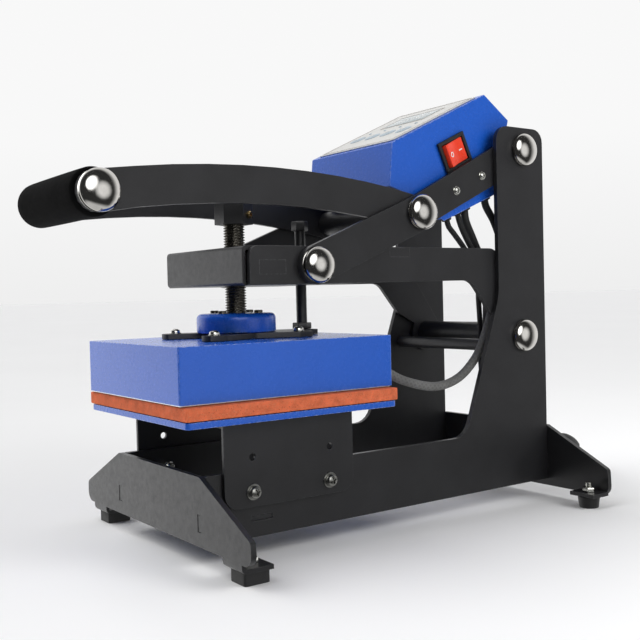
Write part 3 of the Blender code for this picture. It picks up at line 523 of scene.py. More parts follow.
def refined(node, width=0.0004, segments=2, sharp=28, smooth=32):
    """Copy of a CAD node with its hard edges broken, standing for the node itself."""
    bm = bmesh.new()
    bm.from_mesh(frame["nodes"][node].data)
    bmesh.ops.remove_doubles(bm, verts=bm.verts, dist=1e-6)
    bmesh.ops.dissolve_limit(bm, angle_limit=radians(0.5), verts=bm.verts, edges=bm.edges)
    hard = [e for e in bm.edges if e.is_manifold and e.calc_face_angle(0) > radians(sharp)]
    bmesh.ops.bevel(bm, geom=hard, offset=width, segments=segments, profile=0.5, affect="EDGES",
                    clamp_overlap=True)
    piece = make(node + "_finished", bm, BODY_OF[node], SLOT_OF[node], smooth, replaces=node)
    even = piece.modifiers.new("even_shading", "WEIGHTED_NORMAL")
    even.keep_sharp = True
    return piece


def keep(node):
    """Show a CAD node itself, in its procedural material."""
    obj = frame["nodes"][node]
    obj.data.materials.clear()
    obj.data.materials.append(MATERIALS[SLOT_OF[node]])


# ---- mains cord ----
# heights of the coil's layers, the angles where it steps between them, and the radii of its columns
COIL_START, TOP_TURN, MIDDLE_TURN, FLOOR_TURN = 0.0201, 0.0179, 0.0107, 0.0035
LAYER_STEPS = ((60, 100, TOP_TURN - COIL_START), (460, 520, MIDDLE_TURN - TOP_TURN),
               (820, 880, FLOOR_TURN - MIDDLE_TURN), (1400, 1455, MIDDLE_TURN - FLOOR_TURN),
               (1760, 1815, TOP_TURN - MIDDLE_TURN))
INNER_TURN, OUTER_TURN = 0.0349, 0.0421


def eased(value, start, end):
    t = min(1.0, max(0.0, (value - start) / (end - start)))
    return t * t * (3 - 2 * t)


def coil_point(angle):
    """Place on the coil: down the inner column of turns, out along the floor, up the outer column."""
    height = COIL_START + sum(change * eased(angle, start, end) for start, end, change in LAYER_STEPS)
    radius = INNER_TURN + (OUTER_TURN - INNER_TURN) * eased(angle, 1095, 1165)
    a = radians(angle)
    return COIL_CENTRE + Vector((radius * cos(a), radius * sin(a), height))


def mains_cord():
    """Cord from the gland down to its coil, round it, and across to the plug."""
    approach = [GLAND + 0.0003 * Y, (0.04, 0.2533, 0.0437), (0.0389, 0.2663, 0.0418), (0.0355, 0.279, 0.037),
                (0.03, 0.2908, 0.0318), (0.0225, 0.3015, 0.0276), (0.0132, 0.3108, 0.0232)]
    turns = [coil_point(angle) for angle in range(60, 1891, 15)]
    last = [(-0.03, 0.3301, 0.0178), (-0.043, 0.3285, 0.016), (-0.056, 0.323, 0.013),
            (-0.0665, 0.314, 0.011), (-0.073, 0.303, 0.0101), (-0.075, 0.29, 0.01)]
    route = smooth_route(approach + turns + last, 0.0045)
    curve = bpy.data.curves.new("mains_cord_run", "CURVE")
    curve.dimensions = "3D"
    curve.bevel_depth = CORD_R
    curve.bevel_resolution = 4
    curve.use_fill_caps = True
    spline = curve.splines.new("POLY")
    spline.points.add(len(route) - 1)
    for point, where in zip(spline.points, route):
        point.co = (*where, 1)
    curve.materials.append(MATERIALS["black_rubber"])
    cord = added("mains_cord_run", curve)
    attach(cord, "frame")
    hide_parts("mains_cord", "cord_coil")
    plug, pins = mains_plug()


def mains_plug():
    """Moulded plug with grip ribs and its own relief, and its three pins."""
    at = facing((-0.075, 0.253, 0.01), Y, Z)
    bm = bmesh.new()
    sections = ((0.0000, 0.0092, 0.0086), (0.0015, 0.0105, 0.0098), (0.011, 0.0105, 0.0098),
                (0.017, 0.0096, 0.0088), (0.025, 0.0078, 0.0074), (0.03, 0.0064, 0.0064),
                (0.0345, 0.0056, 0.0056), (0.037, 0.005, 0.005))
    rows = [ring(bm, at, rectangle(wide, high, min(wide, high) * 0.45, 6), depth)
            for depth, wide, high in sections]
    for a, b in zip(rows, rows[1:]):
        bridge(bm, a, b)
    bm.faces.new(rows[0])
    bm.faces.new(rows[-1])
    for k in range(4):
        rib_at = moved(at, 0, 0, 0.015 + k * 0.003)
        grow = 0.0101 - k * 0.0007
        add_prism(bm, rib_at, rectangle(grow, grow - 0.0008, 0.004), 0, 0.0012, bevel=0.0003)
    relief = [(0.005, 0.0368), (0.005, 0.0385), (0.0044, 0.039), (0.0048, 0.04), (0.0048, 0.0412),
              (0.0042, 0.0417), (0.0045, 0.0427), (0.0044, 0.0438), (0.0038, 0.0445)]
    add_turned(bm, at, [(0, 0.0368), *relief, (0, 0.0445)], 32)
    plug = make("mains_plug_body", bm, "frame", "black_rubber", replaces="mains_plug")
    pins = bmesh.new()
    for x in (-0.0055, 0.0055):
        blade_at = moved(at, x, 0.0022, 0)
        add_prism(pins, blade_at, rectangle(0.0008, 0.003, 0.0004), -0.016, 0.0006, bevel=0.0003)
    earth_at = moved(at, 0, -0.0052, 0)
    add_turned(pins, earth_at, [(0, 0.0006), (0.0023, 0.0006), (0.0023, -0.017), (0.0015, -0.0185),
                                (0, -0.0188)], 24)
    return plug, make("mains_plug_pins", pins, "frame", "zinc")


def cord_gland():
    """Nut, body and ribbed tapered relief of the gland, through the rear foot plate."""
    at = facing((GLAND.x, 0.0, GLAND.z), Y, Z)
    bm = bmesh.new()
    add_prism(bm, at, hexagon(0.018), 0.1995, 0.2088, bevel=0.0005)
    add_prism(bm, at, hexagon(0.0182), 0.2138, 0.2183, bevel=0.0006)
    profile = [(0, 0.208), (0.0078, 0.208), (0.0078, 0.2182), (0.0068, 0.219)]
    for k in range(6):
        base = 0.22 + k * 0.0038
        radius = 0.0068 - k * 0.00042
        profile += [(radius, base), (radius - 0.0001, base + 0.0022), (radius - 0.0011, base + 0.0026),
                    (radius - 0.0011, base + 0.0034)]
    profile += [(0.0046, 0.2432), (0.0044, 0.245), (0, 0.245)]
    add_turned(bm, at, profile, 40)
    make("cord_gland_ribbed", bm, "frame", "black_plastic", replaces="cord_gland")


def coil_tie():
    """Flat band round the coil, a little wider than its two columns and three layers."""
    tie = bmesh.new()
    a = radians(200)
    radius = (INNER_TURN + OUTER_TURN) / 2
    mid = COIL_CENTRE + Vector((radius * cos(a), radius * sin(a), 0.0112))
    tie_at = facing(mid, Vector((-sin(a), cos(a), 0)), Z)
    outer = rectangle(0.0077, 0.0111, 0.003)
    inner = rectangle(0.0071, 0.0106, 0.0025)
    loops = [ring(tie, tie_at, loop, depth) for depth in (-0.004, 0.004) for loop in (outer, inner)]
    for first, second in ((0, 1), (2, 3), (0, 2), (1, 3)):
        bridge(tie, loops[first], loops[second])
    make("coil_tie", tie, "frame", "black_plastic")


# ---- small hardware ----
def domes():
    """Polished cap nuts on every pivot: a thin flange, a short neck and a domed cap."""
    for node, place, face, height, radius in (
            ("handle_shaft_dome", HANDLE_PIVOT, FRAME_FACE, LOW_DOME, DOME_R),
            ("arm_shaft_dome", ARM_PIVOT, FRAME_FACE, LOW_DOME, DOME_R),
            ("grip_dome", GRIP_AXIS, BAR_FACE, HIGH_DOME, DOME_R),
            ("link_dome", LINK_PIVOT, FRAME_FACE, HIGH_DOME, LINK_DOME_R),
            ("elbow_dome", ELBOW, FRAME_FACE, MIDDLE_DOME, DOME_R)):
        for label, sign in (("right", 1), ("left", -1)):
            name = node + "_" + label
            if name == "grip_dome_left":
                height, radius = FLAT_DOME, FLAT_DOME_R
            cap = min(0.0063, height - 0.0018)
            neck = height - cap - 0.0003
            slim = radius - 0.0009
            profile = [(0, 0), (radius - 0.0004, 0), (radius - 0.0001, 0.0003), (radius - 0.0001, 0.0007),
                       (slim, 0.001), (slim, neck - 0.0002), (radius - 0.0003, neck)]
            profile += [(radius * cos(radians(6 * k)), neck + 0.0003 + cap * sin(radians(6 * k)))
                        for k in range(15)]
            profile.append((0, height))
            bm = bmesh.new()
            add_turned(bm, on_side(sign, place, face), profile, 64)
            make(name + "_polished", bm, BODY_OF[name], "stainless", 24, replaces=name)
    washers = bmesh.new()
    for sign in (1, -1):
        add_turned(washers, on_side(sign, LINK_PIVOT, FRAME_FACE - 0.0002),
                   [(0.0133, 0), (0.0141, 0), (0.0141, 0.0012), (0.0138, 0.0015), (0.0133, 0.0015)], 64)
    make("link_washers", washers, "link", "black_plastic")


def bracket_screws(pan, nut):
    """Screws, spring washers and nuts that hold the platen bracket on the base."""
    screws, nuts = bmesh.new(), bmesh.new()
    for sign in (1, -1):
        for place in ((-0.0941, 0.0473), (-0.0295, 0.0468)):
            at = on_side(sign, place, 0.0693)
            add_washer(screws, at, 0.0026, 0.0056, 0.0000, 0.0009)
            add_washer(screws, at, 0.0026, 0.0044, 0.001, 0.0021)
            add_mesh(screws, pan, moved(at, 0, 0, 0.0022))
            inside = on_side(-sign, place, -0.0619)
            add_mesh(nuts, nut, inside)
            tip = [(0, 0), (0.0025, 0), (0.0025, 0.0062), (0.002, 0.0068), (0, 0.0068)]
            add_turned(nuts, inside, tip, 20)
    make("bracket_screws", screws, "frame", "dark_zinc")
    make("bracket_nuts", nuts, "frame", "zinc")


def under_box_z(y):
    return UNDER_START[1] + UNDER_RISE * (y - UNDER_START[0])


def under_box(x, y):
    """Matrix on the underside of the control box, looking down out of it."""
    return facing((x, y, under_box_z(y)), (0, sin(UNDER_TILT), -cos(UNDER_TILT)))


def foot_studs(nut):
    studs = bmesh.new()
    for sign in (1, -1):
        for foot, top in ((FRONT_FOOT, 0.0062), (REAR_FOOT, 0.0088)):
            at = facing((sign * foot.x, foot.y, foot.z), Z)
            add_mesh(studs, nut, at)
            profile = [(0, 0), (0.0024, 0)]
            lift = 0.0
            while lift < top - 0.001:
                profile += [(0.0025, lift + 0.0002), (0.0029, lift + 0.0005), (0.0025, lift + 0.0008)]
                lift += 0.0008
            add_turned(studs, at, profile + [(0, lift + 0.0002)], 20)
    make("foot_studs", studs, "frame", "zinc")


def box_screws(pan):
    """Screws that hold the control box between the handle bars, and those of its base."""
    bm = bmesh.new()
    for sign in (1, -1):
        for place in ((0.1098, 0.2623), (0.1393, 0.2759)):
            at = on_side(sign, place, 0.0617)
            add_washer(bm, at, 0.002, 0.0036, 0, 0.0005)
            add_mesh(bm, pan, moved(at, 0, 0, 0.0005))
    for x in (-0.046, 0.03):
        for y in (0.106, 0.172):
            add_mesh(bm, pan, under_box(x, y))
    make("control_box_screws", bm, "handle", "zinc")


def flange_hardware(socket, pan):
    bolts = bmesh.new()
    for x in (-0.0304, 0.0304):
        for y in (-0.0361, 0.0361):
            at = facing((x, SPINDLE_Y + y, FLANGE_TOP), Z)
            add_washer(bolts, at, 0.0022, 0.0046, 0, 0.0007)
            add_mesh(bolts, pan, moved(at, 0, 0, 0.0007))
    make("flange_bolts", bolts, "platen", "zinc")
    caps = bmesh.new()
    for k in range(4):
        a = radians(28 + 90 * k)
        add_mesh(caps, socket, facing((0.0195 * cos(a), SPINDLE_Y + 0.0195 * sin(a), COLLAR_HIGH), Z))
    make("collar_screws", caps, "platen", "oily_steel", slot="plain_steel")


def guide_pin(nut):
    bm = bmesh.new()
    at = facing((0, GUIDE_PIN_Y, 0), Z)
    radius = 0.0042
    add_turned(bm, at, [(0, PIN_LOW), (radius, PIN_LOW), (radius, PIN_HEAD_LOW), (0, PIN_HEAD_LOW)], 32)
    add_prism(bm, at, hexagon(0.0116), PIN_HEAD_LOW, PIN_HEAD_HIGH, bevel=0.0006)
    add_mesh(bm, nut, moved(at, 0, 0, PIN_LOW))
    make("guide_pin_bolt", bm, "platen", "black_paint", replaces="guide_pin")


def collar():
    bm = bmesh.new()
    at = facing((0, SPINDLE_Y, 0), Z)
    bore = 0.0083
    profile = [(bore, COLLAR_LOW), (0.029, COLLAR_LOW), (0.0298, 0.1546), (0.03, 0.1556), (0.03, 0.1632)]
    profile += [(0.0262 + 0.0038 * cos(radians(15 * k)), 0.164 + 0.0042 * sin(radians(15 * k)))
                for k in range(7)]
    profile += [(bore + 0.0012, COLLAR_HIGH), (bore, COLLAR_HIGH - 0.0008)]
    add_turned(bm, at, profile, 72)
    make("spindle_collar_turned", bm, "platen", "blue_paint", replaces="spindle_collar")


def spindle_thread():
    """Trapezoid thread cut on the pressure spindle, two millimetres a turn."""
    pitch, crest, root = 0.002, 0.008, 0.0069
    low, high = COLLAR_LOW, 0.249
    around, rows_a_turn = 36, 10
    count = round((high - low) / pitch * rows_a_turn)
    bm = bmesh.new()
    rings = []
    for row in range(count + 1):
        height = low + (high - low) * row / count
        made = []
        for k in range(around):
            turn = k / around
            phase = (height / pitch - turn) % 1.0
            rise = min(1.0, max(0.0, (abs(phase - 0.5) - 0.14) / 0.2))
            fade = min(1.0, min(height - low, high - height) / 0.0015)
            radius = crest - (crest - root) * (rise if fade >= 1 else 1 - (1 - rise) * fade)
            a = 2 * pi * turn
            made.append(bm.verts.new((radius * cos(a), SPINDLE_Y + radius * sin(a), height)))
        rings.append(made)
    for a, b in zip(rings, rings[1:]):
        bridge(bm, a, b)
    bm.faces.new(rings[0])
    bm.faces.new(rings[-1])
    make("pressure_spindle_thread", bm, "spindle", "oily_steel", 45, replaces="pressure_spindle")


def set_screw():
    """Brass screw in the side of the spindle's head."""
    screw = bmesh.new()
    side = Vector((cos(radians(30)), sin(radians(30)), 0))
    at = facing(Vector((0, SPINDLE_Y, 0.242)) + side * 0.0127, side)
    add_turned(screw, at, [(0, 0), (0.0027, 0), (0.0027, 0.0016), (0.0022, 0.0022), (0.0012, 0.0022),
                           (0.0011, 0.001), (0, 0.001)], 24)
    make("spindle_set_screw", screw, "spindle", "brass")


# ---- handle and control box ----
def grip():
    """Foam grip with rolled ends."""
    bm = bmesh.new()
    half, radius, bore = GRIP_HALF, 0.016, 0.0066
    roll = 0.0034
    straight = half - roll
    end = [(radius - roll + roll * sin(radians(18 * k)), straight + roll * cos(radians(18 * k)))
           for k in range(6)]
    far = [(r, -h) for r, h in reversed(end)]
    body = [(radius + 0.0002 * sin(pi * (0.1 + 0.08 * k)), straight * (1 - 0.2 * k)) for k in range(1, 10)]
    profile = [(bore, half), *end, *body, *far, (bore, -half)]
    add_turned(bm, facing((0, *GRIP_AXIS), X), profile, 64)
    make("grip_sleeve_foam", bm, "handle", "foam", replaces="grip_sleeve")


def round_bar(node, place, radius, half, bore=0.0):
    """Turned bar across the press, with chamfered ends."""
    bm = bmesh.new()
    chamfer = 0.0005
    profile = [(radius - chamfer, -half), (radius, chamfer - half), (radius, half - chamfer),
               (radius - chamfer, half)]
    add_turned(bm, facing((0, *place), X), [(bore, -half), *profile, (bore, half)], 48)
    make(node + "_turned", bm, BODY_OF[node], SLOT_OF[node], replaces=node)


def lid_matrix():
    """At the middle of the lid: X across the press, Y up the slope, Z out of the lid."""
    run = (LID_HIGH - LID_LOW).normalized()
    along = Vector((0, run.x, run.y))
    out = X.cross(along)
    middle = (LID_LOW + LID_HIGH) / 2
    turn = Matrix((X, along, out)).transposed().to_4x4()
    return Matrix.Translation((0, *middle)) @ turn


def control_panel():
    """Membrane keypad: film, printed frame, display window, keys with arrows, and lamps."""
    at = lid_matrix()
    half_x, half_run = 0.0495, 0.052
    film = bmesh.new()
    add_prism(film, at, rectangle(half_x, half_run, 0.003, 6), 0.0002, 0.0009, bevel=0.0002)
    make("control_panel_film", film, "handle", "grey_film", replaces="control_panel")
    prints, window, keys, signs = bmesh.new(), bmesh.new(), bmesh.new(), bmesh.new()
    face = 0.0009
    for inset in (0.003, 0.0042):
        add_frame(prints, at, half_x - inset, half_run - inset, 0.0004, face, face + 0.0001)
    add_prism(window, moved(at, 0, 0.02, 0), rectangle(0.025, 0.012, 0.0015), face,
              face + 0.0003, bevel=0.0001)
    add_frame(prints, moved(at, 0, 0.02, 0), 0.0275, 0.0145, 0.0007, face, face + 0.0002)
    digit_at = moved(at, 0, 0.02, face + 0.0003)
    for column in (-0.015, -0.005, 0.007, 0.016):
        add_digit(signs, moved(digit_at, column, 0, 0))
    for column in (-0.03, -0.01, 0.01, 0.03):
        key_at = moved(at, column, -0.02, 0)
        add_turned(keys, key_at, [(0, face), (0.0074, face), (0.0072, face + 0.0004), (0.0058, face + 0.0008),
                                  (0.003, face + 0.001), (0, face + 0.001)], 40)
        sign_at = moved(key_at, 0, 0, face + 0.0009)
        if column < -0.02:
            add_prism(signs, sign_at, [(-0.0024, -0.0018), (0.0024, -0.0018), (0, 0.0024)], 0, 0.0003)
        elif column < 0:
            add_prism(signs, sign_at, [(-0.0024, 0.0018), (0, -0.0024), (0.0024, 0.0018)], 0, 0.0003)
        elif column < 0.02:
            add_frame(signs, sign_at, 0.0022, 0.0022, 0.0007, 0, 0.0003)
        else:
            add_prism(signs, sign_at, rectangle(0.0026, 0.0007), 0, 0.0003)
            add_prism(signs, sign_at, rectangle(0.0007, 0.0026), 0.0001, 0.00032)
        lamp_at = moved(at, column, -0.0045, 0)
        lamp = [(0, face), (0.0015, face), (0.0012, face + 0.0005), (0, face + 0.0007)]
        add_turned(keys, lamp_at, lamp, 20)
    for name, bm, material in (("print", prints, "grey_print"), ("window", window, "pale_window"),
                               ("keys", keys, "pastel_print")):
        make("control_panel_" + name, bm, "handle", material)
    make("control_panel_signs", signs, "handle", "white_print", slot="grey_film")


def add_frame(bm, at, half_u, half_v, width, low, high):
    """Thin rectangular frame, as four bars."""
    thick = width / 2
    for sign in (1, -1):
        add_prism(bm, moved(at, 0, sign * half_v, 0), rectangle(half_u + thick, thick), low, high)
    for sign in (1, -1):
        add_prism(bm, moved(at, sign * half_u, 0, 0), rectangle(thick, half_v - thick), low, high)


def add_digit(bm, at):
    """Seven-segment 8 of the unlit display."""
    for v in (-0.006, 0, 0.006):
        add_prism(bm, moved(at, 0, v, 0), rectangle(0.0022, 0.0005), 0, 0.0001)
    for u in (-0.0031, 0.0031):
        for v in (-0.003, 0.003):
            add_prism(bm, moved(at, u, v, 0), rectangle(0.0005, 0.0022), 0, 0.0001)


def switch_matrix():
    """At the switch on the box's right side: X up the slope, Y square to it, Z outwards."""
    run, rise = Vector((0, cos(SLOPE), sin(SLOPE))), Vector((0, -sin(SLOPE), cos(SLOPE)))
    turn = Matrix((run, rise, X)).transposed().to_4x4()
    return Matrix.Translation((BOX_HALF, *SWITCH)) @ turn


def rocker():
    """Curved rocker with its two marks."""
    at = switch_matrix()
    side = at @ Matrix.Rotation(pi / 2, 4, "X")
    crown = [(-0.0104, 0.005), (-0.0085, 0.0048), (-0.006, 0.0041), (-0.003, 0.0031), (0.0000, 0.0024),
             (0.003, 0.002), (0.006, 0.0018), (0.009, 0.0018), (0.0113, 0.0019), (0.0117, 0.0012),
             (0.0104, -0.005), (-0.0104, -0.005), (-0.0117, 0.001)]
    bm = bmesh.new()
    add_prism(bm, side, crown, -0.0093, 0.0093, bevel=0.0004)
    make("switch_rocker_cap", bm, "rocker", "red_plastic", 40, replaces="switch_rocker")
    marks = bmesh.new()
    circle_at = moved(at, -0.006, 0, 0.0041) @ Matrix.Rotation(radians(17), 4, "Y")
    circle = [(0.0014, -0.0003), (0.0022, -0.0003), (0.0022, 0.0002), (0.0014, 0.0002)]
    add_turned(marks, circle_at, circle, 32)
    dash_at = moved(at, 0.0066, 0, 0.0018)
    add_prism(marks, dash_at, rectangle(0.0019, 0.00045), -0.0002, 0.0002)
    make("switch_marks", marks, "rocker", "white_print", slot="red_plastic")


# ---- leads ----
HEATER_LEAD = [
    (0.045, 0.0277, 0.1255), (0.045, 0.0367, 0.1235), (0.048, 0.06, 0.111), (0.052, 0.09, 0.104),
    (0.0535, 0.115, 0.109), (0.0538, 0.135, 0.124), (0.0535, 0.1465, 0.141), (0.0522, 0.156, 0.16),
    (0.051, 0.1645, 0.18), (0.0505, 0.17, 0.2)]
HEATER_BLACK = [
    (0.0505, 0.17, 0.1985), (0.0505, 0.1715, 0.211), (0.05, 0.172, 0.223), (0.0485, 0.166, 0.24),
    (0.0472, 0.158, 0.253), (0.047, 0.1565, 0.2627)]
MAINS_BLACK = [
    (0.047, 0.1325, 0.2531), (0.047, 0.134, 0.2401), (0.0465, 0.143, 0.224), (0.045, 0.154, 0.205),
    (0.042, 0.162, 0.18), (0.039, 0.1643, 0.15), (0.0375, 0.1643, 0.12), (0.0372, 0.163, 0.095),
    (0.0375, 0.165, 0.07), (0.0388, 0.176, 0.051), (0.04, 0.19, 0.0442), (0.04, 0.1995, 0.044)]
# steps from the control box's underside, then places down the uprights
SENSOR_BENDS = [
    (0, 0.0022, -0.006), (0, 0.0085, -0.0125), (0, 0.02, -0.0245), (-0.0015, 0.033, -0.04)]
SENSOR_DROP = [
    (0.045, 0.1545, 0.176), (0.045, 0.164, 0.15), (0.044, 0.1643, 0.12), (0.043, 0.164, 0.08),
    (0.034, 0.166, 0.048), (0.034, 0.17, 0.03)]
EARTH_BENDS = [
    (0, 0.0022, -0.006), (0, 0.0065, -0.0151), (0, 0.0135, -0.0261), (-0.0015, 0.0255, -0.0416)]
EARTH_DROP = [
    (0.0385, 0.156, 0.176), (0.032, 0.164, 0.15), (0.0315, 0.1643, 0.12), (0.037, 0.164, 0.08),
    (0.048, 0.166, 0.048), (0.048, 0.17, 0.03)]
# places of the leads on the underside, as (x, y), with the radii of the leads
SENSOR_EXIT, EARTH_EXIT = (0.049, 0.1098), (0.0485, 0.1225)
MAINS_EXIT, HEATER_EXIT = (0.047, 0.1325), (0.047, 0.1565)
THIN_R, MAINS_R, HEATER_R = 0.0023, 0.0032, 0.0031


def heater_sleeve():
    """Braided sleeve of the heater lead, in a part from platen to arm and one from arm to frame."""
    route = smooth_route(HEATER_LEAD, 0.0035)
    split = min(range(len(route)), key=lambda i: abs(route[i].y - 0.09))
    for name, part, a, b in (("heater_sleeve_platen", route[:split + 1], "platen", "arm"),
                             ("heater_sleeve_arm", route[split:], "arm", "frame")):
        bm = bmesh.new()
        add_tube(bm, part, 0.0036, 24)
        obj = make(name, bm, None, "grey_sleeve", 40)
        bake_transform(obj)
        if a == "platen":
            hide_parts("heater_lead_sleeved")


def lead(name, points, radius, replaces=None):
    """Black lead that runs between the uprights and the control box."""
    bm = bmesh.new()
    add_tube(bm, smooth_route(points, 0.0035), radius)
    obj = make(name, bm, None, "black_rubber", 40)
    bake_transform(obj)
    if replaces:
        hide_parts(replaces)


def thin_lead(name, place, bends, drop):
    """Thin lead from a place on the box's underside."""
    x, y = place
    z = under_box_z(y)
    points = [(x, y, z + 0.003)] + [(x + a, y + b, z + c) for a, b, c in bends] + drop
    lead(name, points, THIN_R)


def leads():
    heater_sleeve()
    lead("heater_lead_black", HEATER_BLACK, HEATER_R,
         "heater_lead_swing")
    lead("mains_lead_black", MAINS_BLACK, MAINS_R,
         "mains_lead_inside")
    thin_lead("sensor_lead", SENSOR_EXIT, SENSOR_BENDS, SENSOR_DROP)
    thin_lead("earth_lead", EARTH_EXIT, EARTH_BENDS, EARTH_DROP)
    lead_grommets()


def lead_grommets():
    """Rubber rings where the leads leave the control box and the platen's cover."""
    grommets = bmesh.new()
    for (x, y), size in ((SENSOR_EXIT, THIN_R), (EARTH_EXIT, THIN_R), (MAINS_EXIT, MAINS_R),
                         (HEATER_EXIT, MAINS_R)):
        lip = [(size, -0.001), (size + 0.0014, -0.001), (size + 0.002, 0.0004), (size + 0.0016, 0.0018),
               (size + 0.0004, 0.0022), (size, 0.0018)]
        add_turned(grommets, under_box(x, y), lip, 28)
    make("lead_grommets", grommets, "handle", "black_rubber")
    outlet = bmesh.new()
    lip = [(0.0037, -0.002), (0.0048, -0.002), (0.0062, 0.0002), (0.006, 0.0016), (0.0046, 0.0024),
           (0.0037, 0.0024)]
    add_turned(outlet, facing((0.045, 0.0267, 0.1255), Y), lip, 32)
    make("platen_outlet_grommet", outlet, "platen", "black_rubber")


# ---- silicone sponge pad ----
def slab(size, cells):
    """Box round the origin, its six sides made of small squares."""
    bm = bmesh.new()
    made = {}

    def vert(cell):
        if cell not in made:
            made[cell] = bm.verts.new([(c / n - 0.5) * s for c, n, s in zip(cell, cells, size)])
        return made[cell]

    for axis in range(3):
        first, second = [k for k in range(3) if k != axis]
        for i, j, end in product(range(cells[first]), range(cells[second]), (0, cells[axis])):
            corners = []
            for u, v in ((0, 0), (1, 0), (1, 1), (0, 1)):
                cell = [end, end, end]
                cell[first], cell[second] = i + u, j + v
                corners.append(vert(tuple(cell)))
            bm.faces.new(corners)
    return bm


def sponge_pad():
    """Cut slab of silicone sponge: softened edges, faint waves on its cut sides."""
    low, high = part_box("silicone_sponge_pad")
    size = high - low
    bm = slab(size, (60, 66, 6))
    soft, half, wave_depth = 0.0011, size / 2, 0.00018
    for v in bm.verts:
        core = Vector([max(soft - half[i], min(half[i] - soft, v.co[i])) for i in range(3)])
        away = v.co - core
        if away.length > 1e-9:
            v.co = core + away.normalized() * soft
        p = v.co.copy()
        if max(abs(p.x) - half.x, abs(p.y) - half.y) > -1e-6:
            wave = noise.noise(Vector((p.x * 130, p.y * 130, p.z * 260)))
            v.co -= Vector((p.x, p.y, 0)).normalized() * wave_depth * (1 + wave)
    bmesh.ops.translate(bm, verts=bm.verts, vec=(low + high) / 2)
    pad = make("silicone_sponge_pad_cut", bm, "frame", "silicone_sponge", 60, replaces="silicone_sponge_pad")


# ---- weld marks ----
def weld_marks():
    """Faint outlines of the tabs welded through the arm plates and the base."""
    arm_spots = ((-0.069, 0.201, 0.011, 0.005), (0.048, 0.212, 0.01, 0.0035))
    base_spots = ((-0.0858, 0.028, 0.0088, 0.002),)
    for body, half, spots in (("arm", 0.0617, arm_spots), ("frame", 0.066, base_spots)):
        bm = bmesh.new()
        for sign in (1, -1):
            for y, z, half_y, half_z in spots:
                at = facing((sign * half, y, z), (sign, 0, 0), Z)
                add_frame(bm, at, half_y, half_z, 0.0005, -0.0004, 0.00006)
        make(body + "_weld_marks", bm, body, "black_paint")


# ---- stage ----
def add_stage():
    """Pale floor, the backdrop, one soft light from the side and a broad sun from above."""
    bm = bmesh.new()
    add_prism(bm, ORIGIN, ring_points(60, 96), -0.02, 0.0)
    floor = make("floor", bm, None, "white_print")
    floor.data.materials.clear()
    floor.data.materials.append(finish("pale_floor", (0.93, 0.93, 0.93), 0.8, blotch=0.01, spread=0.02,
                                       cloud_scale=1.5, specular=0.15))
    floor.visible_glossy = False
    studio_world()
    place = Vector((0.9, 0.5, 0.8))
    side = add_light("side", "AREA", facing(place, place - Vector((0, 0, 0.2))), 6.0)
    side.data.size = 0.6
    side.visible_camera = False
    top = add_light("top", "SUN", facing((0, 0, 2), (-0.4, -0.45, 0.8)), 2.3)
    top.data.angle = radians(60)


def studio_world():
    """Pale backdrop. Soft light comes from all round but the front, and polished metal reflects a dim
    room with bright panels in it."""
    world = bpy.data.worlds.new("studio")
    bpy.context.scene.world = world
    world.use_nodes = True
    world.cycles.sampling_method = "NONE"
    tree = world.node_tree
    direction = add_node(tree, "TexCoord").outputs["Generated"]
    height = add_node(tree, "SeparateXYZ", {0: direction}).outputs["Z"]

    def panel(colour, towards, edge, full, light):
        facing_it = add_node(tree, "VectorMath", {0: direction, 1: towards}, operation="DOT_PRODUCT")
        return mixed(tree, ranged(tree, facing_it.outputs["Value"], edge, full), colour, light)

    soft = mixed(tree, ranged(tree, height, 0.34, 0.62), (0.93, 0.93, 0.93), (0.28, 0.28, 0.29))
    soft = panel(soft, (-0.81, 0.58, 0), -0.1, -0.6, (0.2, 0.2, 0.21))
    soft = panel(soft, (0, -1, 0), 0.1, 0.7, (0.05, 0.05, 0.05))
    room = (0.04, 0.04, 0.04)
    for towards, edge, full, light in (
            ((-0.81, 0.58, 0), -0.05, 0.3, 1.05), ((-0.94, -0.33, -0.1), 0.86, 0.99, 1.6),
            ((0.93, 0.33, 0.05), 0.9, 0.97, 1.15), ((0.86, -0.3, 0.42), 0.9, 0.975, 4.0),
            ((0, 0, -1), 0.6, 0.8, 0.8)):
        room = panel(room, towards, edge, full, (light, light, light))
    rays = add_node(tree, "LightPath").outputs
    seen = mixed(tree, rays["Is Glossy Ray"], soft, room)
    backdrop = mixed(tree, ranged(tree, height, 0.0, 0.16), (0.86, 0.86, 0.86), (0.94, 0.94, 0.94))
    seen = mixed(tree, rays["Is Camera Ray"], seen, backdrop)
    tree.links.new(seen, tree.nodes["Background"].inputs["Color"])
    bpy.context.scene.view_settings.view_transform = "Standard"


def add_light(name, kind, at, power):
    data = bpy.data.lights.new(name, kind)
    data.energy = power
    light = added(name, data)
    light.matrix_world = at
    light.visible_glossy = False
    return light


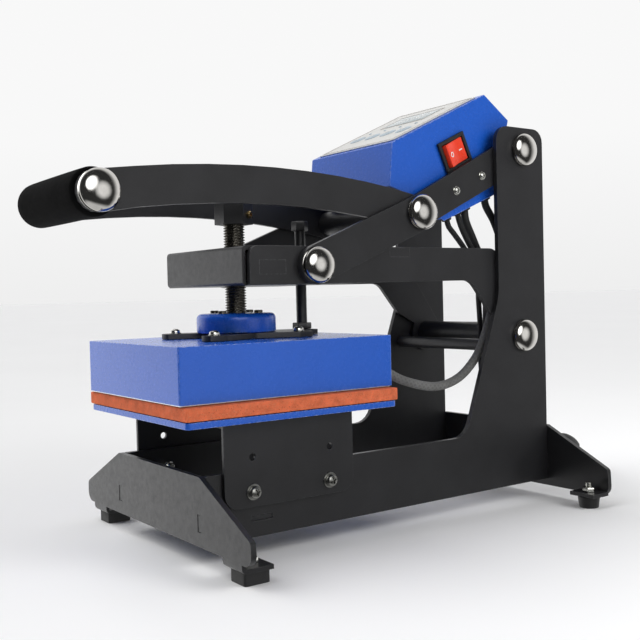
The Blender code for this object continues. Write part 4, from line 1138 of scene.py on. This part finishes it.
# ---- build ----
add_camera()
mains_cord()
cord_gland()
coil_tie()
large_pan, small_pan = phillips_head(0.0042, 0.003), phillips_head(0.0029, 0.0022)
small_socket = socket_head(0.0032, 0.002)
small_nut, stud_nut = hex_nut(0.008, 0.004, 0.0025), hex_nut(0.009, 0.004, 0.0029)
pin_nut = hex_nut(0.013, 0.005, 0.0042)
domes()
bracket_screws(large_pan, small_nut)
foot_studs(stud_nut)
box_screws(small_pan)
flange_hardware(small_socket, phillips_head(0.0038, 0.003))
guide_pin(pin_nut)
collar()
spindle_thread()
set_screw()
grip()
control_panel()
rocker()
leads()
sponge_pad()
weld_marks()
round_bar("upright_stay_bar", STAY_BAR, STAY_R, STAY_HALF)
round_bar("handle_shaft", HANDLE_PIVOT, SHAFT_R, SHAFT_HALF)
round_bar("arm_shaft", ARM_PIVOT, SHAFT_R, SHAFT_HALF)
round_bar("grip_rod", GRIP_AXIS, SHAFT_R, GRIP_ROD_HALF)
round_bar("link_shaft", LINK_PIVOT, SHAFT_R, SHAFT_HALF)
round_bar("elbow_cross_tube", ELBOW, TUBE_R, TUBE_HALF)
round_bar("arm_pivot_sleeve", ARM_PIVOT, SLEEVE_R, TUBE_HALF, SLEEVE_BORE)

# width of the broken edges of each folded or cut piece, one or a right and left pair
BROKEN_EDGES = {"side_plate": 0.0005, "front_foot_plate": 0.0005, "rear_foot_plate": 0.0005,
                "base_cross_plate": 0.0003, "front_foot_pad": 0.0003, "rear_foot_pad": 0.0003,
                "platen_bracket": 0.0003, "lower_platen": 0.0006, "handle_bar": 0.0003,
                "control_box_shell": 0.0008, "control_box_base": 0.0003, "switch_bezel": 0.0005,
                "arm_plate": 0.0003, "arm_nose": 0.0008, "spindle_nut": 0.0003, "toggle_link": 0.0003,
                "platen_cover": 0.0007, "heat_plate": 0.0003, "flange_plate": 0.0003, "spindle_head": 0.0003}
for piece, width in BROKEN_EDGES.items():
    for plate in (piece, piece + "_right", piece + "_left"):
        if plate in frame["nodes"]:
            refined(plate, width)
keep("controller_board")
keep("insulation_blanket")
add_stage()
